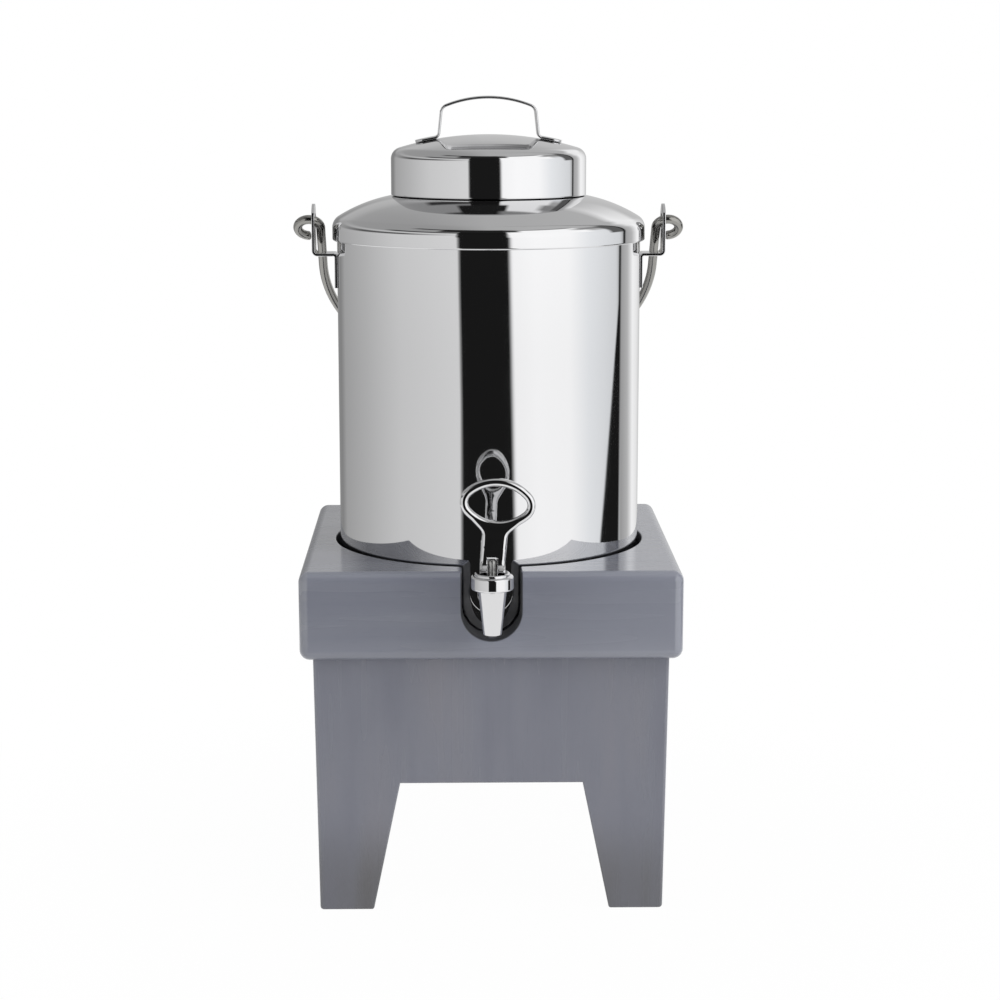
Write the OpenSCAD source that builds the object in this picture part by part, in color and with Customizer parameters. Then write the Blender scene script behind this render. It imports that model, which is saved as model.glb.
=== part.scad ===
// Milk dispenser: a polished steel can with a self-closing tap, set in a square wooden stand.
// Millimetres, +Z up. The origin lies on the table, midway between the front of the tap and the back of
// the board, and the tap points to -Y. The modules are written about the axis of the can.

/* [Stand] */
// Width of wood left between the pocket and the middle of each side of the board
rim_w = 16.9; // [10:0.1:45]
// Thickness of the top board
board_t = 52.5; // [48:0.5:80]
// Rounding of the edges of the top board
board_r = 6; // [2:0.5:10]
// Clear height under the top board
leg_h = 155; // [110:1:240]
// Thickness of the leg panels
panel_t = 18; // [12:1:22]
// Overhang of the top board past the leg panels
overhang = 7.5; // [3:0.5:12]
// Lean of each leg panel from its top to its foot
leg_taper = 2.2; // [0:0.2:6]
// Height of the opening between the legs
arch_h = 78.5; // [40:0.5:100]
// Width of each leg at the floor
leg_w = 32.05; // [26:0.05:50]
// Lean of each side of that opening from the floor to its top
arch_lean = 16.25; // [0:0.25:30]
// Depth of the round pocket that the can stands in
pocket_depth = 40; // [30:0.5:45]
// Play round the can in its pocket
pocket_play = 2.6; // [1:0.1:4]
// Width of the slot that the tap drops into
slot_w = 34.4; // [30:0.2:44]
// Diameter of the wooden dowels between board and panels
dowel_d = 8; // [6:1:10]
// Length of a dowel
dowel_l = 24; // [16:1:28]

/* [Can] */
// Outer diameter of the can
can_d = 185; // [160:1:240]
// Thickness of the sheet
sheet = 1; // [0.6:0.1:1.6]
// Height of the wall from the base to the shoulder band
wall_h = 224.7; // [150:0.1:320]
// Height of the floor of the can above its foot rim
floor_up = 5; // [3:0.5:8]
// Height of the shoulder band
band_h = 9.6; // [6:0.1:16]
// Stand-out of the shoulder band
band_out = 2.8; // [1.5:0.1:4]
// Rounding from the band to the shoulder
band_r = 4; // [2:0.5:6]
// Radius of the shoulder's curve
shoulder_r = 93.3; // [80:0.1:120]
// Slope of the shoulder next to the band
shoulder_slope = 33; // [30:0.5:36]
// Outer diameter of the neck
neck_d = 110; // [100:1:114]
// Height of the neck
neck_h = 17; // [12:0.5:20]
// Radius of the rolled bead round the mouth
bead_r = 1.5; // [1.2:0.1:2]

/* [Lid] */
// Outer diameter of the lid
lid_d = 118.6; // [117:0.2:126]
// Height of the lid from its edge to the top of its dome
lid_h = 36.3; // [34:0.1:44]
// Radius of the lid's dome
lid_dome_r = 190; // [150:1:240]
// Rounding of the lid's upper edge
lid_edge_r = 7; // [5:0.5:11]
// Room between the lid's inner ring and the neck, filled by the seal
plug_play = 1.8; // [1.4:0.1:2.4]
// Depth of the lid's inner ring below the edge of the neck
plug_depth = 12; // [8:0.5:14]
// Height of the seal
seal_h = 5; // [3:0.5:6]
// Span of the lid handle over its legs
grip_w = 60; // [50:1:66]
// Height of the lid handle above the dome
grip_h = 23; // [20:0.5:34]
// Width of the handle's strap
strap_w = 20; // [14:1:26]
// Thickness of the handle's strap
strap_t = 1.6; // [1.2:0.1:2.6]
// Length of the handle's feet
foot_l = 12; // [9:0.5:14]

/* [Carrying handle] */
// Diameter of the wire
wire_d = 5.5; // [4:0.1:6]
// Length of the straight run beside the can
wire_run = 39; // [32:1:70]
// Radius of the curl at each end
curl_r = 7; // [6.6:0.1:8]
// Distance from the can's wall to the middle of the ear
ear_out = 14.1; // [12.5:0.1:17]
// Thickness of the ears
ear_t = 1.8; // [1.2:0.1:2.2]
// Width of the ears
ear_w = 20; // [18:0.5:26]
// Height of the ear's hole above the shoulder band's lower edge
ear_up = 11.5; // [9:0.1:14]
// Length of the tab on the can's wall
tab_h = 21; // [14:0.5:30]
// Height of the ear's hole above its shelf
shelf_drop = 19.5; // [17:0.5:24]

/* [Tap] */
// Height of the tap's pipe above the base of the can
tap_up = 25.5; // [24:0.5:34]
// Distance from the can's wall to the spout
tap_reach = 52; // [46:1:64]
// Outer diameter of the tap's pipe
pipe_d = 14; // [13:0.5:15]
// Bore of the tap's pipe
pipe_bore = 8; // [5:0.5:9]
// Diameter at the top of the spout
spout_top_d = 16.2; // [15:0.1:18]
// Diameter at the tip of the spout
spout_tip_d = 10.4; // [10:0.1:13]
// Bore of the spout's outlet
outlet_d = 6.8; // [5:0.1:7.2]
// Length of the spout below the pipe's axis
spout_drop = 14; // [11:0.5:20]
// Diameter of the valve chamber
chamber_d = 10.4; // [10:0.1:11]
// Diameter of the bonnet
bonnet_d = 24; // [23:0.5:27]
// Height of the bonnet's rim
bonnet_h = 7.9; // [7:0.1:10]
// Diameter of the step on the bonnet
step_d = 20; // [18:0.5:22]
// Height of the step on the bonnet
step_h = 1.7; // [1.5:0.1:4]
// Diameter of the valve stem
stem_d = 5.2; // [4.4:0.1:5.4]
// Diameter of the lever's pin
pin_d = 2.4; // [1.8:0.1:2.6]
// Diameter of the washer on the tap's pipe
washer_d = 26.6; // [24:0.2:30]
// Thickness of the washer
washer_t = 3; // [2:0.5:4]
// Thickness of the gaskets
gasket_t = 2.5; // [1.5:0.1:3]
// Width of the nut across its flats
nut_af = 22; // [19:0.5:24]
// Thickness of the nut
nut_t = 6; // [4:0.5:8]

/* [Lever] */
// Width of the lever's fork
fork_w = 14.4; // [13:0.1:18]
// Width of the slot in the fork
fork_slot = 6; // [5.8:0.1:6.6]
// Height of the pin above the sole of the fork
sole_drop = 5.4; // [4.6:0.1:7]
// Lift of the valve at full tilt
valve_lift = 2.5; // [1.5:0.1:3]
// Full tilt of the lever
lever_tilt = 35; // [20:1:40]
// Sideways lean of the lever above its fork
lever_lean = 5; // [0:0.5:8]
// Thickness of the lever's shank
shank_t = 6.4; // [5:0.2:8]
// Height of the middle of the loop above the pin
loop_up = 33.9; // [31:0.1:44]
// Half width of the loop, to the middle of its bar
loop_a = 19; // [17:0.1:24]
// Half height of the loop, to the middle of its bar
loop_b = 12.2; // [10.5:0.1:14]
// Radius of the loop's ends, to the middle of its bar
loop_end_r = 7.5; // [6:0.1:9]
// Thickness of the loop's bar
loop_bar = 4.6; // [3.6:0.1:5.4]

/* [Hidden] */
$fn = 96;

// clearances
touch = 0.05;
fit = 0.1;
free_gap = 0.3;
past = 1;

// colours
wood = "#7b7f8b";
steel = "#c9cbce";
wire_steel = "#b9bbbe";
soft = "#e6e6e2";
pale_wood = "#c8a878";

// widths and heights of the stand, from the can that it holds
can_r = can_d / 2;
pocket_r = can_r + pocket_play;
board_w = 2 * (pocket_r + rim_w);
frame_w = board_w - 2 * overhang;
arch_foot_w = frame_w - 2 * leg_taper - 2 * leg_w;
arch_top_w = arch_foot_w - 2 * arch_lean;
board_top = leg_h + board_t;
base_z = board_top - pocket_depth;

// shoulder: a rounded band, then one curve that meets the rounding smoothly
band_z = base_z + wall_h;
band_R = can_r + band_out;
round_c = [band_R - band_r, band_z + band_h];
dome_c = round_c - (shoulder_r - band_r) * [sin(shoulder_slope), cos(shoulder_slope)];
wall_top = band_z + band_h - band_out;
function dome_z(r) = dome_c.y + sqrt(shoulder_r * shoulder_r - pow(r - dome_c.x, 2));
neck_r = neck_d / 2;
mouth_r = neck_r - sheet;
neck_top = dome_z(neck_r) + neck_h;

// lid
lid_r = lid_d / 2;
lid_z = dome_z(lid_r - sheet) + free_gap;
lid_top = lid_z + lid_h;
lid_c = lid_top - lid_dome_r;
edge_c = [lid_r - lid_edge_r,
  lid_c + sqrt(pow(lid_dome_r - lid_edge_r, 2) - pow(lid_r - lid_edge_r, 2))];
edge_x = edge_c.x * lid_dome_r / (lid_dome_r - lid_edge_r);
plug_R = mouth_r - plug_play;
plug_z = neck_top - plug_depth;
rib_r = plug_play / 3;
seal_z = plug_z + 2 * rib_r + touch;
seal_lip = 0.8;
seal_w = plug_play - free_gap - touch - seal_lip;
function lid_z_at(x) = lid_c + sqrt(lid_dome_r * lid_dome_r - x * x);

// strap of the lid handle, from the middle of its crown to its foot
strap_c = lid_dome_r + fit + strap_t / 2;
crown_r = 70;
knee_r = 5;
heel_r = 3;
leg_splay = 3;
leg_x = grip_w / 2 - strap_t / 2;
crown_a = asin((leg_x - knee_r * 1.1) / (crown_r - knee_r));
knee_a = 90 - leg_splay - crown_a;
grip_top = lid_top + grip_h - strap_t / 2;
knee_c = [(crown_r - knee_r) * sin(crown_a), grip_top - crown_r + (crown_r - knee_r) * cos(crown_a)];
knee_end = knee_c + knee_r * [cos(leg_splay), sin(leg_splay)];
heel_x = grip_w / 2 + heel_r;
heel_s = asin(heel_x / (strap_c + heel_r));
heel_a = 90 - leg_splay - heel_s;
heel_c = [heel_x, lid_c + (strap_c + heel_r) * cos(heel_s)];
heel_in = heel_c - heel_r * [cos(leg_splay), sin(leg_splay)];
leg_dir = [-sin(leg_splay), cos(leg_splay)];
lap = 0.4;
function lap_a(r) = lap / r * 180 / PI;
foot_a = foot_l / strap_c * 180 / PI;
foot_x = strap_c * sin(heel_s + foot_a);
foot_r = min(strap_w / 4, foot_l / 2);

// ears and carrying handle
hole_z = band_z + ear_up;
ear_x = can_r + ear_out;
wire_r = wire_d / 2;
leg_in = ear_x - ear_t / 2 - free_gap - wire_r;
curl_x = leg_in + curl_r;
curl_s = sqrt(curl_r * curl_r - pow(curl_x - ear_x, 2));
curl_turn = 277;
bail_h = wire_run + leg_in;
hang = acos((can_r + wire_r + free_gap) / bail_h);
function wire_up(x) = curl_s - sqrt(pow(curl_r - wire_r, 2) - pow(curl_x - x, 2));
function wire_down(x) = sqrt(pow(curl_r + wire_r, 2) - pow(curl_x - x, 2)) - curl_s;
ear_hole_r = max(wire_up(ear_x - ear_t / 2), wire_down(ear_x + ear_t / 2)) + free_gap;
shelf_z = hole_z - shelf_drop;
bend_r = 2.5;

// tap
tap_y = -(can_r + tap_reach);
pipe_z = base_z + tap_up;
pipe_r = pipe_d / 2;
tip_z = pipe_z - spout_drop;
seat_z = pipe_z - pipe_bore / 2 - 0.8;
cone_top = pipe_z + 11;
collar_z = cone_top + 2.4;
collar_h = 3.1;
collar_r = bonnet_d / 2 - 2;
bonnet_z = collar_z - 1.2;
step_r = 0.8;
bonnet_in = collar_z + collar_h + fit;
step_z = bonnet_z + bonnet_h;
bonnet_top = step_z + step_h;
washer_y = -(can_r + gasket_t);
shoulder_y = washer_y - washer_t;
nut_y = -(can_r - sheet - gasket_t);
pipe_in = nut_y + nut_t + 2.5;
stem_r = stem_d / 2;
pin_r = pin_d / 2;
pin_z = bonnet_top + free_gap + sole_drop;
cup_r = chamber_d / 2 - 0.7;
cup_h = 7.5;
cup_z = seat_z + free_gap;
barb_r = stem_r - 0.6;
coil_r = (chamber_d / 2 + stem_r) / 2;
coil_wire = 0.45;
coil_turns = 5;
coil_z0 = cup_z + cup_h + touch + coil_wire;
coil_z1 = bonnet_in - touch - coil_wire;

// the middle of the whole object from front to back, which goes over the origin
mid_y = (board_w / 2 + tap_y - bonnet_d / 2) / 2;
module placed() translate([0, -mid_y, 0]) children();

// lever
cam_k = valve_lift / (lever_tilt * PI / 180);
function cam(a) = (sole_drop + cam_k * a * PI / 180) * [-sin(a), -cos(a)] + cam_k * [-cos(a), sin(a)];
cam_front = [for (i = [0:8]) cam((lever_tilt + 4) * i / 8)];
fork_top = sole_drop + 1;
// hollow curve from the end of the sole up to the upright face of the fork
sole_end = cam_front[len(cam_front) - 1];
flare_w = -sole_end.x - shank_t / 2;
flare_h = 1.1 * flare_w;
flare = [for (i = [0:6]) [-shank_t / 2 - flare_w * (1 - sin(15 * i)), sole_end.y + 0.6 + flare_h * (1 - cos(15 * i))]];
loop_R = (pow(loop_a - loop_end_r, 2) + loop_b * loop_b - loop_end_r * loop_end_r)
  / (2 * (loop_b - loop_end_r));
loop_c = loop_R - loop_b;
loop_t = acos(loop_c / (loop_R - loop_end_r));
loop_in = 4;
web_t = loop_bar * 0.8;
web_x = loop_R * sin(loop_t) - 1;
web_z = loop_up + loop_c - sqrt(loop_R * loop_R - web_x * web_x);
shank_top = web_z - (web_x - fork_w / 2) * 1.1;

// plane shapes
module rrect(w, h, r) {
  square([w - 2 * r, h], center = true);
  square([w, h - 2 * r], center = true);
  for (x = [-1, 1], y = [-1, 1]) translate([x * (w / 2 - r), y * (h / 2 - r)]) circle(r);
}

// a sector of a ring, from angle a0 to a1, less than 180 degrees
module sector(r, t, a0, a1) {
  big = 2 * r + 2 * t;
  intersection() {
    difference() { circle(r + t / 2); circle(r - t / 2); }
    polygon([[0, 0], big * [cos(a0), sin(a0)], big * [cos((a0 + a1) / 2), sin((a0 + a1) / 2)],
      big * [cos(a1), sin(a1)]]);
  }
}

// a straight run of strip between two points
module run(a, b, t) {
  d = b - a;
  translate(a) rotate(atan2(d.y, d.x)) translate([0, -t / 2]) square([norm(d), t]);
}

// a plane shape in X and Z, pulled along Y and centred there
module along_y(w) rotate([90, 0, 0]) linear_extrude(w, center = true) children();

// a plane shape in Y and Z, pulled along X and centred there
module along_x(w) rotate([90, 0, 90]) linear_extrude(w, center = true) children();

module rod_y(r, y0, y1) translate([0, y0, 0]) rotate([-90, 0, 0]) cylinder(r = r, h = y1 - y0);

// Stand
module dowel_spots() {
  side = frame_w / 2 - panel_t / 2 - leg_taper * dowel_l / 4 / leg_h;
  for (x = [-1, 1], y = [-1, 1]) {
    translate([x * frame_w * 0.36, y * side, 0]) children();
    translate([x * side, y * frame_w * 0.29, 0]) children();
  }
}

module dowel_holes()
  dowel_spots() translate([0, 0, leg_h - dowel_l / 2 - 0.5]) cylinder(d = dowel_d + fit, h = dowel_l + 1);

module dowels() color(pale_wood)
  dowel_spots() translate([0, 0, leg_h - dowel_l / 2]) cylinder(d = dowel_d, h = dowel_l);

module top_board() color(wood) {
  mid = leg_h + board_t / 2;
  difference() {
    intersection() {
      translate([0, 0, leg_h]) linear_extrude(board_t) rrect(board_w, board_w, board_r);
      translate([0, 0, mid]) along_x(board_w) rrect(board_w, board_t, board_r);
      translate([0, 0, mid]) along_y(board_w) rrect(board_w, board_t, board_r);
    }
    translate([0, 0, base_z]) cylinder(r = pocket_r, h = pocket_depth + past);
    translate([0, -board_w / 2, 0]) along_y(board_w) {
      translate([0, base_z + slot_w / 2]) circle(d = slot_w);
      translate([-slot_w / 2, base_z + slot_w / 2]) square([slot_w, pocket_depth]);
    }
    dowel_holes();
  }
}

// outline of a leaning face, d in from the outer faces of the leg frame
module lean(d) polygon([
  [-frame_w / 2 + leg_taper + d, 0], [frame_w / 2 - leg_taper - d, 0],
  [frame_w / 2 - d, leg_h], [-frame_w / 2 + d, leg_h]]);

module arch() polygon([
  [-arch_foot_w / 2 - past * (arch_foot_w - arch_top_w) / 2 / arch_h, -past],
  [arch_foot_w / 2 + past * (arch_foot_w - arch_top_w) / 2 / arch_h, -past],
  [arch_top_w / 2, arch_h], [-arch_top_w / 2, arch_h]]);

// a full-width panel at the front
module wide_panel() difference() {
  intersection() {
    along_y(board_w) lean(0);
    along_x(board_w) difference() {
      lean(0);
      polygon([[-frame_w / 2 + leg_taper + panel_t, -past], [board_w, -past],
        [board_w, leg_h + past], [-frame_w / 2 + panel_t, leg_h + past],
        [-frame_w / 2 + panel_t, leg_h], [-frame_w / 2 + leg_taper + panel_t, 0]]);
    }
  }
  translate([0, -frame_w / 2, 0]) along_y(4 * panel_t) arch();
}

// a panel at the left, between the front and the back
module short_panel() difference() {
  intersection() {
    along_x(board_w) lean(panel_t);
    along_y(board_w) difference() {
      lean(0);
      polygon([[-frame_w / 2 + leg_taper + panel_t, -past], [board_w, -past],
        [board_w, leg_h + past], [-frame_w / 2 + panel_t, leg_h + past],
        [-frame_w / 2 + panel_t, leg_h], [-frame_w / 2 + leg_taper + panel_t, 0]]);
    }
  }
  translate([-frame_w / 2, 0, 0]) along_x(4 * panel_t) arch();
}

module front_panel() color(wood) difference() { wide_panel(); dowel_holes(); }
module back_panel() color(wood) difference() { mirror([0, 1, 0]) wide_panel(); dowel_holes(); }
module left_panel() color(wood) difference() { short_panel(); dowel_holes(); }
module right_panel() color(wood) difference() { mirror([1, 0, 0]) short_panel(); dowel_holes(); }

// Can
module can_body() color(steel) difference() {
  translate([0, 0, base_z]) cylinder(r = can_r, h = wall_top - base_z);
  translate([0, 0, base_z + floor_up + sheet]) cylinder(r = can_r - sheet, h = wall_top - base_z);
  translate([0, 0, base_z - past]) cylinder(r = can_r - 2 * sheet, h = floor_up + past);
  translate([0, 0, pipe_z]) rod_y(pipe_r + fit, -can_r - past, -can_r + 3 * sheet + past);
}

module can_shoulder() color(steel) rotate_extrude() difference() {
  union() {
    translate([0, band_z]) square([band_R, band_h]);
    translate(round_c) circle(band_r);
    intersection() {
      translate(dome_c) circle(shoulder_r);
      translate([0, band_z]) square([round_c.x + band_r * sin(shoulder_slope), shoulder_r]);
    }
    translate([mouth_r, band_z]) square([sheet, neck_top - bead_r - band_z]);
    translate([neck_r, neck_top - bead_r]) circle(bead_r);
  }
  intersection() {
    translate(dome_c) circle(shoulder_r - sheet);
    translate([0, band_z - past]) square([can_r - sheet, shoulder_r]);
  }
  translate([-past, band_z - past]) square([can_r + touch + past, wall_top + touch - band_z + past]);
  translate([-past, band_z]) square([mouth_r + past, shoulder_r]);
}

// the ear on the right: a tab on the wall, a shelf, and an upright plate with the wire's hole
module ear() difference() {
  union() {
    intersection() {
      difference() {
        translate([0, 0, shelf_z - tab_h]) cylinder(r = can_r + touch + ear_t, h = tab_h);
        translate([0, 0, shelf_z - tab_h - past]) cylinder(r = can_r + touch, h = tab_h + 2 * past);
      }
      translate([0, -ear_w / 2, shelf_z - tab_h]) cube([can_d, ear_w, tab_h]);
    }
    difference() {
      along_y(ear_w) {
        run([can_r - past, shelf_z - ear_t / 2], [ear_x - bend_r, shelf_z - ear_t / 2], ear_t);
        translate([ear_x - bend_r, shelf_z - ear_t / 2 + bend_r]) sector(bend_r, ear_t, -90, 0);
        run([ear_x, shelf_z - ear_t / 2 + bend_r], [ear_x, hole_z], ear_t);
      }
      translate([0, 0, shelf_z - tab_h]) cylinder(r = can_r + touch, h = tab_h + past);
    }
    translate([ear_x, 0, hole_z]) rotate([0, 90, 0]) cylinder(d = ear_w, h = ear_t, center = true);
  }
  translate([ear_x, 0, hole_z]) rotate([0, 90, 0]) cylinder(r = ear_hole_r, h = 4 * ear_t, center = true);
}

module right_ear() color(steel) ear();
module left_ear() color(steel) mirror([1, 0, 0]) ear();

// the carrying handle hangs at the back: arch, two straight runs and a curl through each ear
module bail() color(wire_steel) translate([0, 0, hole_z]) rotate([-90 - hang, 0, 0]) {
  translate([0, 0, wire_run]) rotate([90, 0, 0]) rotate_extrude(angle = 180)
    translate([leg_in, 0]) circle(wire_r);
  for (m = [0, 1]) mirror([m, 0, 0]) {
    translate([leg_in, 0, curl_s]) cylinder(r = wire_r, h = wire_run - curl_s);
    translate([curl_x, 0, curl_s]) rotate([90, 0, 0]) rotate([0, 0, 180])
      rotate_extrude(angle = curl_turn) translate([curl_r, 0]) circle(wire_r);
  }
}

// Tap
module tap_body() color(steel) difference() {
  union() {
    translate([0, tap_y, tip_z])
      cylinder(d1 = spout_tip_d, d2 = spout_top_d, h = cone_top - tip_z);
    translate([0, tap_y, cone_top]) cylinder(d = spout_top_d, h = collar_z - cone_top);
    translate([0, tap_y, collar_z]) cylinder(r = collar_r, h = collar_h);
    translate([0, 0, pipe_z]) {
      difference() {
        rod_y(pipe_r, tap_y, pipe_in);
        translate([0, tap_y, -pipe_z]) rotate([0, 0, 180])
          translate([-pipe_d, 0, 0]) cube([2 * pipe_d, 2 * pipe_d, 2 * pipe_z]);
      }
      rod_y(pipe_r + 1.2, shoulder_y - 4, shoulder_y);
    }
  }
  translate([0, tap_y, tip_z - past]) cylinder(d = outlet_d, h = seat_z - tip_z + 2 * past);
  translate([0, tap_y, seat_z]) cylinder(d = chamber_d, h = collar_z + collar_h - seat_z + past);
  translate([0, 0, pipe_z]) rod_y(pipe_bore / 2, tap_y, pipe_in + past);
}

module tap_washer() color(steel) translate([0, 0, pipe_z]) difference() {
  rod_y(washer_d / 2, shoulder_y, washer_y);
  rod_y(pipe_r + fit, shoulder_y - past, washer_y + past);
}

module outer_gasket() color(soft) difference() {
  translate([0, 0, pipe_z]) difference() {
    rod_y(washer_d / 2 - 1, washer_y, -can_r + 2 * past);
    rod_y(pipe_r + fit, washer_y - past, -can_r + 3 * past);
  }
  translate([0, 0, base_z]) cylinder(r = can_r + touch, h = 2 * tap_up, $fn = 720);
}

module inner_gasket() color(soft) intersection() {
  translate([0, 0, pipe_z]) difference() {
    rod_y(nut_af / 2, -can_r, nut_y);
    rod_y(pipe_r + fit, -can_r - past, nut_y + past);
  }
  translate([0, 0, base_z]) cylinder(r = can_r - sheet - touch, h = 2 * tap_up, $fn = 720);
}

module tap_nut() color(steel) translate([0, nut_y, pipe_z]) rotate([-90, 0, 0]) difference() {
  cylinder(d = nut_af / cos(30), h = nut_t, $fn = 6);
  translate([0, 0, -past]) cylinder(r = pipe_r + fit, h = nut_t + 2 * past);
}

module tap_bonnet() color(steel) translate([0, tap_y, 0]) difference() {
  rotate_extrude() {
    translate([0, bonnet_z]) square([bonnet_d / 2 - 1, bonnet_h]);
    translate([0, bonnet_z + 1]) square([bonnet_d / 2, bonnet_h - 2]);
    for (z = [bonnet_z + 1, step_z - 1]) translate([bonnet_d / 2 - 1, z]) circle(1);
    translate([0, bonnet_z]) square([step_d / 2, bonnet_h + step_h - step_r]);
    translate([0, bonnet_z]) square([step_d / 2 - step_r, bonnet_h + step_h]);
    translate([step_d / 2 - step_r, bonnet_top - step_r]) circle(step_r);
  }
  translate([0, 0, bonnet_z - past]) cylinder(r = collar_r + fit, h = bonnet_in - bonnet_z + past);
  translate([0, 0, bonnet_z]) cylinder(r = stem_r + fit, h = bonnet_h + step_h + past);
}

// points of a coil, in rings of 6
function ring(i, n) = let (a = 360 * coil_turns * i / n, z = coil_z0 + (coil_z1 - coil_z0) * i / n)
  [for (j = [0:5]) let (r = coil_r + coil_wire * cos(60 * j))
    [r * cos(a), r * sin(a), z + coil_wire * sin(60 * j)]];

module tap_spring() color(wire_steel) translate([0, tap_y, 0]) {
  n = 8 * coil_turns;
  pts = [for (i = [0:n]) each ring(i, n)];
  polyhedron(pts, concat(
    [for (i = [0:n - 1], j = [0:5]) [6 * i + j, 6 * i + (j + 1) % 6, 6 * i + 6 + j]],
    [for (i = [0:n - 1], j = [0:5]) [6 * i + (j + 1) % 6, 6 * i + 6 + (j + 1) % 6, 6 * i + 6 + j]],
    [for (j = [1:4]) [0, j + 1, j]],
    [for (j = [1:4]) [6 * n, 6 * n + j, 6 * n + j + 1]]));
}
echo(spring_gap = (coil_z1 - coil_z0) / coil_turns - 2 * coil_wire);

module tap_stem() color(steel) translate([0, tap_y, 0]) difference() {
  union() {
    translate([0, 0, cup_z + 2.5]) cylinder(r = barb_r, h = cup_h);
    translate([0, 0, cup_z + cup_h]) cylinder(r = stem_r, h = pin_z - cup_z - cup_h);
    translate([0, 0, pin_z]) sphere(r = stem_r);
  }
  translate([0, 0, pin_z]) rotate([0, 90, 0]) cylinder(r = pin_r + touch / 2, h = 2 * stem_d, center = true);
}

module seat_cup() color(soft) translate([0, tap_y, 0]) difference() {
  union() {
    translate([0, 0, cup_z]) cylinder(r1 = cup_r - 0.8, r2 = cup_r, h = 2);
    translate([0, 0, cup_z + 2]) cylinder(r = cup_r, h = cup_h - 2);
  }
  translate([0, 0, cup_z + 2.5 - touch]) cylinder(r = barb_r + touch / 2, h = cup_h);
}

module lever_pin() color(steel) translate([0, tap_y, pin_z]) rotate([0, 90, 0])
  cylinder(r = pin_r, h = fork_w - 0.4, center = true);

// the lever: a fork whose sole rolls on the bonnet, a shank, and an oval loop for the fingers
module tap_lever() color(steel) translate([0, tap_y, pin_z]) difference() {
  union() {
    along_x(fork_w) polygon(concat(cam_front, flare, [[-shank_t / 2, fork_top], [shank_t / 2, fork_top]],
      [for (i = [len(flare) - 1:-1:0]) [-flare[i].x, flare[i].y]],
      [for (i = [len(cam_front) - 1:-1:0]) [-cam_front[i].x, cam_front[i].y]]));
    rotate([0, lever_lean, 0]) {
      intersection() {
        linear_extrude(loop_up) rrect(fork_w, shank_t, shank_t / 3);
        along_y(fork_w) polygon([[-fork_w, fork_top - 2], [fork_w, fork_top - 2],
          [fork_w, shank_top], [-fork_w, shank_top]]);
      }
      difference() {
        along_y(web_t) polygon([[-fork_w / 2, shank_top - 1], [fork_w / 2, shank_top - 1],
          [fork_w / 2, shank_top], [web_x, web_z], [-web_x, web_z], [-fork_w / 2, shank_top]]);
        translate([0, 0, loop_up + loop_c]) rotate([90, 0, 0]) cylinder(r = loop_R, h = fork_w, center = true);
      }
      // two long arcs, and two end arcs that run a little way into them
      translate([0, 0, loop_up]) rotate([90, 0, 0]) for (s = [0, 180]) rotate(s) {
        translate([0, loop_c]) rotate(-90 - loop_t) rotate_extrude(angle = 2 * loop_t)
          translate([loop_R, 0]) circle(d = loop_bar + fit);
        translate([loop_a - loop_end_r, 0]) rotate(loop_t - 90 - loop_in)
          rotate_extrude(angle = 180 - 2 * loop_t + 2 * loop_in)
          translate([loop_end_r, 0]) circle(d = loop_bar - fit);
      }
    }
  }
  translate([-fork_slot / 2, -fork_w, -fork_w]) cube([fork_slot, 2 * fork_w, fork_w + stem_r + free_gap]);
  rotate([0, 90, 0]) cylinder(r = pin_r + touch, h = 2 * fork_w, center = true);
}

// Lid
// half section of the lid, grown inwards by d
module lid_half(d) {
  translate([0, lid_z - d]) square([lid_r - d, edge_c.y - lid_z + d]);
  translate(edge_c) circle(lid_edge_r - d);
  intersection() {
    translate([0, lid_c]) circle(lid_dome_r - d);
    translate([0, lid_z]) square([edge_x - d * edge_c.x / (lid_dome_r - lid_edge_r), lid_h]);
  }
}

module lid_cap() color(steel) rotate_extrude() difference() { lid_half(0); lid_half(sheet); }

module lid_plug() color(steel) intersection() {
  rotate_extrude() {
    translate([plug_R - sheet, plug_z + rib_r]) square([sheet, lid_top - plug_z]);
    for (z = [plug_z + rib_r, seal_z + seal_h + touch + rib_r])
      translate([plug_R, z]) circle(rib_r - touch);
  }
  translate([0, 0, lid_c]) sphere(r = lid_dome_r - sheet - touch);
}

module lid_seal() color(soft) rotate_extrude() {
  translate([plug_R + touch, seal_z]) square([seal_w, seal_h]);
  translate([plug_R + touch + seal_w, seal_z + seal_h / 2]) intersection() {
    circle(seal_h / 2);
    translate([-seal_w / 2, -seal_h / 2]) square([seal_w / 2 + seal_lip, seal_h]);
  }
}

// crown, legs and feet of the strap run a little way into its knees and heels
module lid_handle() color(steel) difference() {
  union() {
    along_y(strap_w) translate([0, grip_top - crown_r])
      sector(crown_r, strap_t, 90 - crown_a - lap_a(crown_r), 90 + crown_a + lap_a(crown_r));
    for (m = [0, 1]) mirror([m, 0, 0]) {
      along_y(strap_w) translate(knee_c) sector(knee_r, strap_t + fit, leg_splay, leg_splay + knee_a);
      along_y(strap_w) run(heel_in - lap * leg_dir, knee_end + lap * leg_dir, strap_t);
      along_y(strap_w) translate(heel_c)
        sector(heel_r, strap_t + fit, 180 + leg_splay, 180 + leg_splay + heel_a);
      along_y(strap_w) translate([0, lid_c])
        sector(strap_c, strap_t, 90 - heel_s - foot_a, 90 - heel_s + lap_a(strap_c));
    }
  }
  // round corners on the feet
  for (m = [0, 1], n = [0, 1]) mirror([m, 0, 0]) mirror([0, n, 0])
    translate([foot_x - foot_r, strap_w / 2 - foot_r, lid_z]) difference() {
      cube([foot_r + past, foot_r + past, lid_h]);
      translate([0, 0, -past]) cylinder(r = foot_r, h = lid_h + 2 * past);
    }
}

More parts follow.
